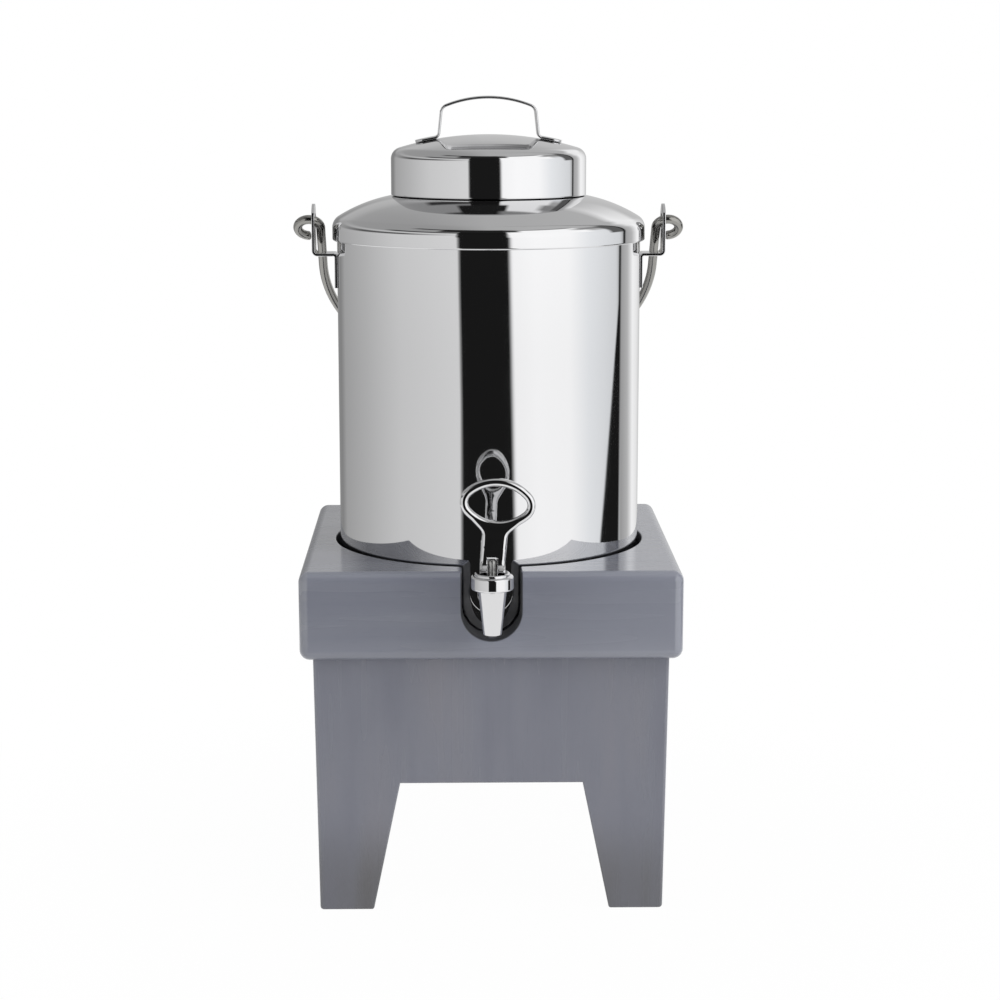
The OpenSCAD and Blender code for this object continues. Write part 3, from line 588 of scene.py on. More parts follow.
# %% Lathe and cutter
def lathe(name, section, material, closed=True, around=192, axis="z", centre=(0, 0, 0), limit=CREASE):
    points, rings, faces = [], [], []
    for r, h in section:
        if r < 1e-6:
            rings.append([len(points)] * around)
            points.append((0.0, 0.0, h))
            continue
        rings.append(list(range(len(points), len(points) + around)))
        points += [(r * sin(2 * pi * i / around), -r * cos(2 * pi * i / around), h) for i in range(around)]
    pairs = list(zip(rings, rings[1:])) + ([(rings[-1], rings[0])] if closed else [])
    for low, high in pairs:
        for i in range(around):
            j = (i + 1) % around
            loop = [low[i], low[j], high[j], high[i]]
            loop = [v for k, v in enumerate(loop) if v not in loop[:k]]
            if len(loop) > 2:
                faces.append(loop)
    turned = {"z": lambda p: p, "y": lambda p: (p[0], p[2], -p[1]), "x": lambda p: (p[2], p[1], -p[0])}[axis]
    points = [tuple(a + b for a, b in zip(turned(p), centre)) for p in points]
    return solid(name, points, faces, material, limit)


def cutter(name, radius, start, end, around, material, axis="z", centre=(0, 0, 0)):
    section = [(0, start), (radius, start), (radius, end), (0, end)]
    return lathe(name, section, material, closed=False, around=around, axis=axis, centre=centre)


# %% Carving and settling
def baked(piece):
    graph = bpy.context.evaluated_depsgraph_get()
    mesh = bpy.data.meshes.new_from_object(piece.evaluated_get(graph))
    piece.modifiers.clear()
    piece.data = mesh
    return piece


def carve(piece, *tools, how="DIFFERENCE", limit=CREASE):
    for tool in tools:
        change = piece.modifiers.new("carve", "BOOLEAN")
        change.object = tool
        change.operation = how
        change.solver = "EXACT"
    material = piece.data.materials[0]
    baked(piece)
    for tool in tools:
        bpy.data.objects.remove(tool)
    tidy(piece.data, limit)
    piece.data.materials.clear()
    piece.data.materials.append(material)
    return piece


def settle(piece, body, slot, *nodes):
    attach(piece, body)
    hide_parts(*nodes)
    print(piece.name, len(piece.data.polygons), "faces")


# %% [markdown]
# ## The top board
# A thick square board with its edges rounded by a 6 mm cutter, a round pocket for the can, and a slot
# in front for the tap. The block is rounded first and carved afterwards, as on the bench. A second,
# narrow Bevel then breaks the lips of the pocket and the slot.


# %% Rounding helper
ROUND_FROM, EASED_CREASE = 25.0, 40.0


def ease(piece, width_mm, weights, segments=5, clamp=True):
    mesh = piece.data
    bm = bmesh.new()
    bm.from_mesh(mesh)
    layers = bm.edges.layers.float
    layer = layers.get("bevel_weight_edge") or layers.new("bevel_weight_edge")
    for edge in bm.edges:
        bent = len(edge.link_faces) == 2 and edge.calc_face_angle(0) > radians(ROUND_FROM)
        edge[layer] = weights(edge) if bent else 0.0
    bm.to_mesh(mesh)
    bm.free()
    easing = piece.modifiers.new("ease", "BEVEL")
    easing.width = width_mm * MM
    easing.segments = segments
    easing.limit_method = "WEIGHT"
    easing.use_clamp_overlap = clamp
    before = len(mesh.polygons)
    easing.material = -1
    easing.mark_sharp = False
    baked(piece)
    plain = bmesh.new()
    plain.from_mesh(piece.data)
    shade(plain, EASED_CREASE)
    plain.to_mesh(piece.data)
    plain.free()
    weigh = piece.modifiers.new("weigh", "WEIGHTED_NORMAL")
    weigh.keep_sharp = True
    baked(piece)
    print(piece.name, "eased from", before, "to", len(piece.data.polygons), "faces")
    return piece


def wear(piece, flat_area_mm2):
    """Marks the small faces of the rounded edges, where the stain is rubbed thin."""
    mesh = piece.data
    rub = mesh.attributes.new("rub", "FLOAT", "POINT")
    level = [1.0] * len(mesh.vertices)
    for face in mesh.polygons:
        if face.area > flat_area_mm2 * MM * MM:
            for v in face.vertices:
                level[v] = 0.0
    rub.data.foreach_set("value", level)


# %% Top board
EDGE_ROUND, LIP, SLOT_BACK, TOOL_PAST = 6.0, 1.2, -60.0, 5.0
half = BOARD_W / 2
box = [(x * half, y * half, z) for z in (LEG_H, BOARD_TOP) for y in (-1, 1) for x in (-1, 1)]
box_faces = [(0, 2, 3, 1), (4, 5, 7, 6), (0, 1, 5, 4), (2, 6, 7, 3), (0, 4, 6, 2), (1, 3, 7, 5)]
board = solid("board", box, box_faces, board_wood, limit=25)
ease(board, EDGE_ROUND, lambda edge: 1.0, segments=8)
wear(board, flat_area_mm2=60)
above = BOARD_TOP + TOOL_PAST
pocket = cutter("pocket_tool", POCKET_R, BASE_Z, above, 144, board_wood)
slot_r = SLOT_W / 2
slot_z = BASE_Z + slot_r + FIT
u_shape = [(slot_r, above)] + arc(0, slot_z, slot_r, 0, -180, 7.5) + [(-slot_r, above)]
u_points = [(x, y, z) for y in (-half - TOOL_PAST, SLOT_BACK) for x, z in u_shape]
slot_tool = solid("slot_tool", u_points, ring_faces(2, len(u_shape)), board_wood)
carve(board, pocket, slot_tool, limit=25)


# %% Lips and end grain of the board
def lip_weight(edge):
    a, b = (v.co / MM - Vector((0, AXIS_Y, 0)) for v in edge.verts)
    on_top = min(a.z, b.z) > BOARD_TOP - 0.01
    on_front = max(a.y, b.y) < -half + EDGE_ROUND + 0.1
    inside = min(a.z, b.z) > BASE_Z + 8
    return 1.0 if edge.is_convex and (on_top or on_front or inside) else 0.0


ease(board, LIP, lip_weight, segments=3, clamp=False)
# marks the faces inside the pocket and the slot for painted shade: full in the slot and on the pocket wall,
# less on the pocket floor
inside_shade_mask = board.data.attributes.new("cut", "FLOAT", "POINT")
inside_shade_levels = []
for v in board.data.vertices:
    x, y, z = v.co / MM - Vector((0, AXIS_Y, 0))
    in_pocket = hypot(x, y) < POCKET_R + 0.2 and z < BOARD_TOP - 0.5
    from_slot = abs(x) if z > slot_z else hypot(x, z - slot_z)
    in_slot = from_slot < slot_r + LIP * 0.65 and y < 0 and z < BOARD_TOP - 0.5
    on_floor = in_pocket and z < BASE_Z + 0.2
    inside_shade_levels.append(0.35 if on_floor else 1.0 if in_pocket or in_slot else 0.0)
inside_shade_mask.data.foreach_set("value", inside_shade_levels)
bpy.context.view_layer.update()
settle(board, "stand", "stained_wood", "top_board")

# %% [markdown]
# ## The leg panels
# Four panels with tapered openings make the legs. They lean in a little towards the floor. The front
# and back panels cover the edges of the side ones, so a fine joint line shows on each side. Their
# outer edges are rounded by hand to about 2 mm.

# %% Leg panels
FRAME_W, TAPER, PANEL_T, PANEL_ROUND = 209.0, 2.2, 18.0, 2.0
ARCH_FOOT, ARCH_TOP, ARCH_H = 70.25, 54.0, 78.5
# shares of the rounding at the head, at the covered edges of the side panels, and elsewhere
HEAD_SHARE, COVERED_SHARE, INNER_SHARE = 0.1, 0.25, 0.6


def panel(name, inset, turn):
    foot, head = FRAME_W / 2 - TAPER - inset, FRAME_W / 2 - inset
    outline = [
        (-foot, 0), (-ARCH_FOOT, 0), (-ARCH_TOP, ARCH_H), (ARCH_TOP, ARCH_H), (ARCH_FOOT, 0), (foot, 0),
        (head, LEG_H), (-head, LEG_H)]
    points = []
    for deep in (0.0, PANEL_T):
        for u, z in outline:
            out = FRAME_W / 2 - TAPER * (1 - z / LEG_H) - deep
            points.append((u * cos(turn) + out * sin(turn), u * sin(turn) - out * cos(turn), z))
    piece = solid(name, points, ring_faces(2, len(outline)), panel_wood, limit=25)

    def panel_weight(edge):
        low = min(v.co.z for v in edge.verts)
        if low > (LEG_H - 1) * MM:
            return HEAD_SHARE
        mid = (edge.verts[0].co + edge.verts[1].co) / 2 - Vector((0, AXIS_Y * MM, 0))
        across = abs(mid.x * cos(turn) + mid.y * sin(turn)) / MM
        return (1.0 if inset == 0 else COVERED_SHARE) if across > foot - 1 else INNER_SHARE

    ease(piece, PANEL_ROUND, lambda e: panel_weight(e) if e.is_convex else 0.0, segments=4)
    wear(piece, flat_area_mm2=400)
    return piece


settle(panel("panel_front", 0.0, 0.0), "stand", "stained_wood", "front_panel")
settle(panel("panel_back", 0.0, pi), "stand", "stained_wood", "back_panel")
settle(panel("panel_left", PANEL_T, -pi / 2), "stand", "stained_wood", "left_panel")
settle(panel("panel_right", PANEL_T, pi / 2), "stand", "stained_wood", "right_panel")

# %% [markdown]
# ## The can
# The wall is a rolled and welded cylinder, polished until the seam is gone, with a flanged floor set a
# little above its foot. The hole for the tap is cut through the lathe's mesh, and the wall's normals
# are then set straight out from the axis, so that the cut leaves no mark in the reflections.

# %% Can body
FLOOR_UP, PIPE_AXIS, PIPE_PLAY, RING_AWAY = 5.0, (0, 0, PIPE_Z), 0.1, 16.0
floor_z = BASE_Z + FLOOR_UP
body_section = rounded([
    (0, floor_z, 0), (CAN_R - 2, floor_z, 2.0), (CAN_R - 2, BASE_Z, 0.8), (CAN_R, BASE_Z, 1.1),
    (CAN_R, WALL_TOP, 0), (CAN_R - SHEET, WALL_TOP, 0), (CAN_R - SHEET, floor_z + SHEET, 6.0),
    (0, floor_z + SHEET, 0)], closed=False)
# two more rings in the wall, below and above the pipe, keep the cut between them
ring_low, ring_high = PIPE_Z - RING_AWAY, PIPE_Z + RING_AWAY
lower = [i for i, (r, z) in enumerate(body_section) if abs(r - CAN_R) < 1e-6 and z < ring_low][-1]
body_section[lower + 1:lower + 1] = [(CAN_R, ring_low), (CAN_R, ring_high)]
can = lathe("can_wall", body_section, mirror_steel, closed=False, around=288)
carve(can, cutter("drill", PIPE_R + PIPE_PLAY, -CAN_R - 4, -CAN_R + 6, 64, mirror_steel, "y", PIPE_AXIS))


def radial_normals(piece, radius_mm):
    mesh = piece.data
    axis = Vector((0, AXIS_Y * MM, 0))
    normals = [Vector(n.vector) for n in mesh.corner_normals]
    for face in mesh.polygons:
        out = (face.center - axis) * Vector((1, 1, 0))
        if out.length > 0 and face.normal.dot(out.normalized()) > 0.999:
            for loop in face.loop_indices:
                spot = mesh.vertices[mesh.loops[loop].vertex_index].co - axis
                flat = Vector((spot.x, spot.y, 0))
                if abs(flat.length / MM - radius_mm) < 0.2:
                    normals[loop] = flat.normalized()
    mesh.normals_split_custom_set(normals)


radial_normals(can, CAN_R)
settle(can, "can", "polished_steel", "can_body")

# %% [markdown]
# The shoulder is one spun piece: a proud band that laps over the wall, a rounding, one long curve up to
# the neck, and a rolled bead round the mouth. A small fillet runs between shoulder and neck, because
# sheet can't be spun to a sharp corner.

# %% Can shoulder
BAND_ROUND, DOME_R = 8.0, 93.3
NECK_R, MOUTH_R, BEAD_R, FILLET = 55.0, 54.0, 1.5, 3.0
# the dome of the shoulder springs from a corner above the band, and the rounding touches both
DRAWN_ROUND, DRAWN_LEAN = 4.0, radians(33)
dome = (BAND_R - DRAWN_ROUND - (DOME_R - DRAWN_ROUND) * sin(DRAWN_LEAN),
        BAND_Z + 9.6 - (DOME_R - DRAWN_ROUND) * cos(DRAWN_LEAN))
round_up = BAND_R - BAND_ROUND - dome[0]
band_c = (BAND_R - BAND_ROUND, dome[1] + sqrt((DOME_R - BAND_ROUND) ** 2 - round_up ** 2))
band_a = degrees(atan2(band_c[1] - dome[1], round_up))
bead = (NECK_R, NECK_TOP - BEAD_R)
# the fillet's centre lies a fillet away from the neck and from the shoulder's curve
fillet_x = NECK_R + FILLET
fillet_z = dome[1] + sqrt((DOME_R + FILLET) ** 2 - (fillet_x - dome[0]) ** 2)
touch_a = degrees(atan2(fillet_z - dome[1], fillet_x - dome[0]))
lap_r, inner_r = CAN_R + FIT, DOME_R - SHEET
inner_start = degrees(acos((MOUTH_R + 1.5 - dome[0]) / inner_r))
inner_end = degrees(acos((CAN_R - SHEET - dome[0]) / inner_r))
shoulder = rounded([
    (lap_r, WALL_TOP + FIT, 0), (lap_r, BAND_Z, 0.3), (BAND_R, BAND_Z, 0.9), (BAND_R, band_c[1] - 0.4, 0)],
    closed=False, steps=5, guard=0.25)
shoulder += arc(*band_c, BAND_ROUND, 0, band_a, 4)
shoulder += arc(*dome, DOME_R, band_a, touch_a, 1.2)[1:]
shoulder += arc(fillet_x, fillet_z, FILLET, touch_a - 180, -180, 10)[1:]
shoulder += [(NECK_R, bead[1] - 1.9)] + arc(*bead, BEAD_R, -60, 130, 12)
shoulder += [(MOUTH_R, bead[1] + 0.6), (MOUTH_R, bead[1] - 0.4), (MOUTH_R, dome[1] + DOME_R + 0.8)]
shoulder += [(MOUTH_R + 0.4, dome[1] + DOME_R - 1.0)] + arc(*dome, inner_r, inner_start, inner_end, 2.0)
shoulder += [(CAN_R - SHEET, WALL_TOP + FIT)]
settle(lathe("can_shoulder", shoulder, mirror_steel, around=288, limit=50), "can", "polished_steel",
       "can_shoulder")

# %% [markdown]
# ## The lid
# A pressed cap with a domed top that turns down over a 7 mm rounding into a straight wall. Its lower
# edge is hemmed. Inside it, a turned ring carries the silicone seal that grips the neck.

# %% Lid cap, ring and seal
LID_DOME_R, LID_ROUND, HEM, HEM_MID = 190.0, 7.0, 0.45, 0.13
lid_c = LID_TOP - LID_DOME_R
round_x = LID_R - LID_ROUND
round_z = lid_c + sqrt((LID_DOME_R - LID_ROUND) ** 2 - round_x ** 2)
meet = degrees(atan2(round_z - lid_c, round_x))


def lid_curve(inset):
    return (arc(round_x, round_z, LID_ROUND - inset, 0, meet, 5)
            + arc(0, lid_c, LID_DOME_R - inset, meet, 90, 1.0)[1:])


within = LID_R - SHEET
outside = [(LID_R - HEM, LID_Z), (LID_R - HEM_MID, LID_Z + HEM_MID), (LID_R, LID_Z + HEM),
           (LID_R, LID_Z + 2 * HEM), (LID_R, round_z - 0.4)] + lid_curve(0)
inside = [(within + HEM, LID_Z), (within + HEM_MID, LID_Z + HEM_MID), (within, LID_Z + HEM),
          (within, round_z - 0.4)] + lid_curve(SHEET)
settle(lathe("lid_cap", list(reversed(inside)) + outside, mirror_steel, closed=False, around=256), "lid",
       "polished_steel", "lid_cap")

PLUG_R, PLUG_Z, RIB, SEAL_H = 52.2, NECK_TOP - 12, 0.6, 5.0
seal_z = PLUG_Z + 2 * RIB + FIT
plug_top = lid_c + sqrt((LID_DOME_R - SHEET - FIT) ** 2 - (PLUG_R - 0.5) ** 2)
plug = [(PLUG_R - SHEET, PLUG_Z + RIB)]
for z in (PLUG_Z + RIB, seal_z + SEAL_H + FIT + RIB):
    plug += arc(PLUG_R, z, RIB - FIT, -85, 85, 20)
    plug += [(PLUG_R, z + RIB)]
plug += [(PLUG_R, plug_top), (PLUG_R - SHEET, plug_top + 0.1)]
settle(lathe("lid_ring", plug, turned_steel, around=160), "lid", "inner_steel", "lid_plug")
seal = [(PLUG_R + FIT, seal_z, 0), (PLUG_R + 0.7, seal_z, 0.1), (PLUG_R + 1.5, seal_z + 1.7, 0.5)]
seal += [(r, 2 * seal_z + SEAL_H - z, ease_r) for r, z, ease_r in reversed(seal)]
settle(lathe("lid_seal", rounded(seal, steps=4, guard=0.1), silicone, around=160), "lid", "silicone",
       "lid_seal")

# %% [markdown]
# ## Bent strip
# The handle on the lid and the ears at the sides are bent from steel strip with eased edges. A sweep
# function carries a flat section with rounded corners along a path in the plane of X and Z, and the
# section can narrow near an end, which gives a strip its round end.


# %% Strip sweep
def strip(name, path, half_width, thick, ease_mm, material, bend=None):
    points = []
    corner = [(cos(radians(a)), sin(radians(a))) for a in range(0, 91, 15)]
    for i, (x, z) in enumerate(path):
        before, after = path[max(i - 1, 0)], path[min(i + 1, len(path) - 1)]
        run = Vector((after[0] - before[0], after[1] - before[1])).normalized()
        side = Vector((-run.y, run.x))
        w = half_width[i]
        e = min(ease_mm, w * 0.45)
        for sy, sn in ((1, 1), (-1, 1), (-1, -1), (1, -1)):
            for c, s in (corner if sy * sn > 0 else corner[::-1]):
                y, n = sy * (w - e + e * c), sn * (thick / 2 - e + e * s)
                p = (x + side.x * n, y, z + side.y * n)
                points.append(bend(p) if bend else p)
    return solid(name, points, ring_faces(len(path), 4 * len(corner)), material, limit=50)


def even(path, step):
    out = [path[0]]
    for a, b in zip(path, path[1:]):
        n = max(1, int(dist(a, b) / step))
        out += [(a[0] + (b[0] - a[0]) * k / n, a[1] + (b[1] - a[1]) * k / n) for k in range(1, n + 1)]
    return out


def lengths(path):
    run = [0.0]
    for a, b in zip(path, path[1:]):
        run.append(run[-1] + dist(a, b))
    return run


# %% Lid handle
STRAP_T, STRAP_W, GRIP_W, GRIP_UP = 1.6, 20.0, 60.0, 23.0
CROWN_R, KNEE_R, HEEL_R, HEEL_X, SPLAY, FOOT_L, FOOT_R = 70.0, 5.0, 3.0, 33.0, 3.0, 12.0, 5.0
strap_c = LID_DOME_R + 0.1 + STRAP_T / 2
crown_z = LID_TOP + GRIP_UP - STRAP_T / 2 - CROWN_R
crown_a = degrees(asin((GRIP_W / 2 - STRAP_T / 2 - 1.1 * KNEE_R) / (CROWN_R - KNEE_R)))
knee = ((CROWN_R - KNEE_R) * sin(radians(crown_a)), crown_z + (CROWN_R - KNEE_R) * cos(radians(crown_a)))
heel_s = degrees(asin(HEEL_X / (strap_c + HEEL_R)))
heel = (HEEL_X, lid_c + (strap_c + HEEL_R) * cos(radians(heel_s)))
half_path = arc(0, lid_c, strap_c, 90 - heel_s - degrees(FOOT_L / strap_c), 90 - heel_s, 0.3)
half_path += arc(*heel, HEEL_R, 270 - heel_s, 180 + SPLAY, 7)
half_path += arc(*knee, KNEE_R, SPLAY, 90 - crown_a, 6)
half_path += arc(0, crown_z, CROWN_R, 90 - crown_a, 90, 1.5)[1:]
full_path = even(half_path + [(-x, z) for x, z in reversed(half_path[:-1])], 1.5)
reach = lengths(full_path)
widths = []
for s in reach:
    end = min(s, reach[-1] - s)
    narrow = FOOT_R - sqrt(max(0.0, FOOT_R ** 2 - (FOOT_R - end) ** 2)) if end < FOOT_R else 0.0
    widths.append(STRAP_W / 2 - narrow)
strap = strip("lid_handle", full_path, widths, STRAP_T, 0.48 * STRAP_T, mirror_steel)
settle(strap, "lid", "polished_steel", "lid_handle")

# %% [markdown]
# An ear is a tab that lies on the wall, a shelf that carries it clear of the shoulder band, and an
# upright plate with a round end and a hole for the wire.

# %% Ears
SHELF_Z, TAB_H, EAR_R, INNER_BEND, OUTER_BEND = BAND_Z - 8, 21.0, 10.0, 1.6, 2.5
EAR_HOLE_R, HOLE_EASE, EAR_EASE, PUNCH, FLAT_FROM, BEND_RUN = 5.03, 0.35, 0.4, 3, 4, 6


def ear(name, side):
    tab_x, shelf_mid = CAN_R + FIT + EAR_T / 2, SHELF_Z - EAR_T / 2
    path = [(tab_x, SHELF_Z - TAB_H), (tab_x, shelf_mid - INNER_BEND)]
    path += arc(tab_x + INNER_BEND, shelf_mid - INNER_BEND, INNER_BEND, 180, 90, 15)
    path += arc(EAR_X - OUTER_BEND, shelf_mid + OUTER_BEND, OUTER_BEND, -90, 0, 10)
    path = even(path + [(EAR_X, HOLE_Z)], 1.2)
    path += [(EAR_X, HOLE_Z + EAR_R * sin(radians(a))) for a in range(6, 85, 6)]
    path += [(EAR_X, HOLE_Z + EAR_R - 0.03)]
    widths = [sqrt(max(0.5, EAR_R ** 2 - max(0.0, z - HOLE_Z) ** 2)) for x, z in path]

    def hug(p):
        """Bends the tab and the start of the shelf to the wall, and leaves the plate flat."""
        x, y, z = p
        near = min(1.0, max(0.0, (EAR_X - FLAT_FROM - x) / BEND_RUN))
        x += (sqrt(tab_x ** 2 - y * y) - tab_x) * near
        return (x * side, y, z)

    plate = strip(name, path, widths, EAR_T, EAR_EASE, mirror_steel, hug)
    wide = EAR_HOLE_R + HOLE_EASE
    outer_half = [(0, PUNCH), (wide, PUNCH)]
    outer_half += [(wide - HOLE_EASE * sin(radians(a)), EAR_T / 2 - HOLE_EASE + HOLE_EASE * cos(radians(a)))
                   for a in (0, 30, 60, 90)]
    section = outer_half + [(r, -h) for r, h in reversed(outer_half)]
    punch = lathe("punch", section, mirror_steel, closed=False, around=64, axis="x",
                  centre=(EAR_X * side, 0, HOLE_Z))
    return carve(plate, punch, limit=50)


settle(ear("ear_right", 1), "can", "polished_steel", "right_ear")
settle(ear("ear_left", -1), "can", "polished_steel", "left_ear")

# %% [markdown]
# ## The carrying handle
# One length of 5.5 mm wire: an arch over the can, two straight legs, and a curl through each ear. It is
# a rule that follows a path, so Geometry Nodes make it: the path is a line of points, Curve to Mesh
# carries a circle along it, and a radius on each point rounds the cut ends.


# %% Wire along a path, with Geometry Nodes
def node_group(name, inputs):
    tree = bpy.data.node_groups.new(name, "GeometryNodeTree")
    tree.interface.new_socket("Geometry", in_out="INPUT", socket_type="NodeSocketGeometry")
    tree.interface.new_socket("Geometry", in_out="OUTPUT", socket_type="NodeSocketGeometry")
    for label, kind, value in inputs:
        tree.interface.new_socket(label, in_out="INPUT", socket_type=kind).default_value = value
    return tree, put(tree, "NodeGroupInput")


def grown(piece, tree, **values):
    change = piece.modifiers.new("grow", "NODES")
    change.node_group = tree
    for item in tree.interface.items_tree:
        if item.in_out == "INPUT" and item.name.replace(" ", "_") in values:
            change[item.identifier] = values[item.name.replace(" ", "_")]
    baked(piece)
    return piece


# the cut end of a wire is rounded over this share of its radius, down to a blunt face of this share
NOSE, BLUNT = 0.55, 0.45
wire_tree, wire_in = node_group("wire_along_path", [
    ("Wire Radius", "NodeSocketFloat", 0.002), ("Sides", "NodeSocketInt", 24),
    ("Finish", "NodeSocketMaterial", None)])
swell = put(wire_tree, "GeometryNodeInputNamedAttribute", {"Name": "swell"}, data_type="FLOAT")
line = put(wire_tree, "GeometryNodeMeshToCurve", {"Mesh": wire_in.outputs["Geometry"]})
shaped = put(wire_tree, "GeometryNodeSetCurveRadius", {"Curve": line.outputs[0], "Radius": swell.outputs[0]})
ring = put(wire_tree, "GeometryNodeCurvePrimitiveCircle", {
    "Resolution": wire_in.outputs["Sides"], "Radius": wire_in.outputs["Wire Radius"]})
tube = put(wire_tree, "GeometryNodeCurveToMesh", {
    "Curve": shaped.outputs[0], "Profile Curve": ring.outputs[0], "Fill Caps": True})
# newer versions of Blender take the radius of each point from a socket of their own
if "Scale" in tube.inputs:
    wire_tree.links.new(swell.outputs[0], tube.inputs["Scale"])
real = put(wire_tree, "GeometryNodeRealizeInstances", {"Geometry": tube.outputs[0]})
coat = put(wire_tree, "GeometryNodeSetMaterial", {
    "Geometry": real.outputs[0], "Material": wire_in.outputs["Finish"]})
put(wire_tree, "NodeGroupOutput", {0: coat.outputs[0]})


def wire(name, path, radius_mm, sides, material):
    mesh = bpy.data.meshes.new(name)
    mesh.from_pydata([tuple(place(p)) for p in path], [(i, i + 1) for i in range(len(path) - 1)], [])
    run = lengths(path)
    nose = radius_mm * NOSE
    into = [min(s, run[-1] - s, nose) / nose for s in run]
    fat = [BLUNT + (1 - BLUNT) * sqrt(max(0.0, 1 - (1 - t) ** 2)) for t in into]
    mesh.attributes.new("swell", "FLOAT", "POINT").data.foreach_set("value", fat)
    piece = grown(added(name, mesh), wire_tree, Wire_Radius=radius_mm * MM, Sides=sides, Finish=material)
    tidy(piece.data, limit=50)
    return piece


# %% Carrying handle
WIRE_RUN, CURL_R, CURL_TURN = 39.0, 7.0, 277.0
LEG_X = EAR_X - EAR_T / 2 - 0.3 - WIRE_R
curl_x = LEG_X + CURL_R
curl_z = sqrt(CURL_R ** 2 - (curl_x - EAR_X) ** 2)
# it hangs behind the can until its arch touches the wall
hang = -pi / 2 - acos((CAN_R + WIRE_R + 0.3) / (WIRE_RUN + LEG_X))
last = degrees(WIRE_R * NOSE / CURL_R)
curl = arc(curl_x, curl_z, CURL_R, 180 + CURL_TURN, 180 + CURL_TURN - last, last / 5)
curl += arc(curl_x, curl_z, CURL_R, 180 + CURL_TURN - last, 180, 7)[1:]
right_half = curl + [(LEG_X, curl_z + 1.5), (LEG_X, WIRE_RUN - 1.5)] + arc(0, WIRE_RUN, LEG_X, 0, 90, 2.5)
flat_path = right_half + [(-x, z) for x, z in reversed(right_half[:-1])]
bail_path = [(x, -z * sin(hang), HOLE_Z + z * cos(hang)) for x, z in flat_path]
settle(wire("carrying_handle", bail_path, WIRE_R, 28, drawn_wire), "bail", "wire_steel", "bail")

# %% [markdown]
# ## The tap
# The spout is a turned cone with a collar, and a pipe runs back from it through the wall. The two are
# made on the lathe, joined, and bored through. The bonnet screws down over the collar. On the pipe, a
# washer and two silicone rings seal the wall, and a nut inside the can holds them tight.

# %% Spout and pipe
TAP_AXIS = (0, TAP_Y, 0)
SPOUT_R, SPOUT_Z, CONE_R, CONE_TOP = 5.2, 179.0, 8.1, 204.0
COLLAR_R, COLLAR_Z, COLLAR_TOP = 10.0, 206.4, 209.5
FLANGE_R, FLANGE_FRONT, FLANGE_BACK, PIPE_BACK = PIPE_R + 1.2, -102.0, -98.0, -80.5
OUTLET_R, CHAMBER_R, CHAMBER_Z, PIPE_BORE_R = 3.4, 5.2, 188.2, 4.0
spout_section = rounded([
    (0, SPOUT_Z, 0), (SPOUT_R, SPOUT_Z, 0.5), (CONE_R, CONE_TOP, 0), (CONE_R, COLLAR_Z, 0),
    (COLLAR_R, COLLAR_Z, 0), (COLLAR_R, COLLAR_TOP, 0.3), (0, COLLAR_TOP, 0)], closed=False, guard=0.2)
spout = lathe("tap_spout", spout_section, mirror_steel, closed=False, around=96, centre=TAP_AXIS, limit=30)
pipe_section = rounded([
    (0, TAP_Y + 0.5, 0), (PIPE_R, TAP_Y + 0.5, 0), (PIPE_R, FLANGE_FRONT, 0), (FLANGE_R, FLANGE_FRONT, 0.4),
    (FLANGE_R, FLANGE_BACK, 0), (PIPE_R, FLANGE_BACK, 0), (PIPE_R, PIPE_BACK, 0.4), (0, PIPE_BACK, 0)],
    closed=False, guard=0.2)
pipe = lathe("pipe", pipe_section, mirror_steel, closed=False, around=72, axis="y", centre=PIPE_AXIS,
             limit=30)
carve(spout, pipe, how="UNION", limit=30)
outlet = cutter("outlet", OUTLET_R, SPOUT_Z - 1, CHAMBER_Z + 0.8, 64, mirror_steel, centre=TAP_AXIS)
chamber = cutter("chamber", CHAMBER_R, CHAMBER_Z, COLLAR_TOP + 1.5, 64, mirror_steel, centre=TAP_AXIS)
pipe_bore = cutter("pipe_bore", PIPE_BORE_R, TAP_Y, PIPE_BACK + 1.5, 64, mirror_steel, "y", PIPE_AXIS)
carve(spout, outlet, chamber, pipe_bore, limit=30)
settle(spout, "can", "polished_steel", "tap_body")

# %% Bonnet and washer
BONNET_R, BONNET_Z, BONNET_TOP = bonnet_high[0], bonnet_low[2], bonnet_high[2]
STEP_R, STEP_H, RECESS_R, RECESS_TOP, STEM_R = 10.0, 1.7, 10.1, 209.6, 2.6
bonnet = rounded([
    (RECESS_R, BONNET_Z, 0.15), (BONNET_R, BONNET_Z, 1.0), (BONNET_R, BONNET_TOP - STEP_H, 1.0),
    (STEP_R, BONNET_TOP - STEP_H, 0.3), (STEP_R, BONNET_TOP, 0.8), (STEM_R + 0.1, BONNET_TOP, 0.25),
    (STEM_R + 0.1, RECESS_TOP, 0), (RECESS_R, RECESS_TOP, 0)], guard=0.15)
settle(lathe("tap_bonnet", bonnet, mirror_steel, around=128, centre=TAP_AXIS), "can", "polished_steel",
       "tap_bonnet")
WASHER_R, WASHER_BACK, WASHER_BORE_R = 13.3, -95.0, PIPE_R + 0.1
washer = rounded([
    (WASHER_BORE_R, FLANGE_BACK, 0.2), (WASHER_R, FLANGE_BACK, 0.8), (WASHER_R, WASHER_BACK, 0.3),
    (WASHER_BORE_R, WASHER_BACK, 0)], guard=0.15)
settle(lathe("tap_washer", washer, mirror_steel, around=128, axis="y", centre=PIPE_AXIS), "can",
       "polished_steel", "tap_washer")

# %% [markdown]
# The stem runs down through the bonnet to a silicone cup that closes the outlet. Its head is round, and
# the lever's pin crosses it.

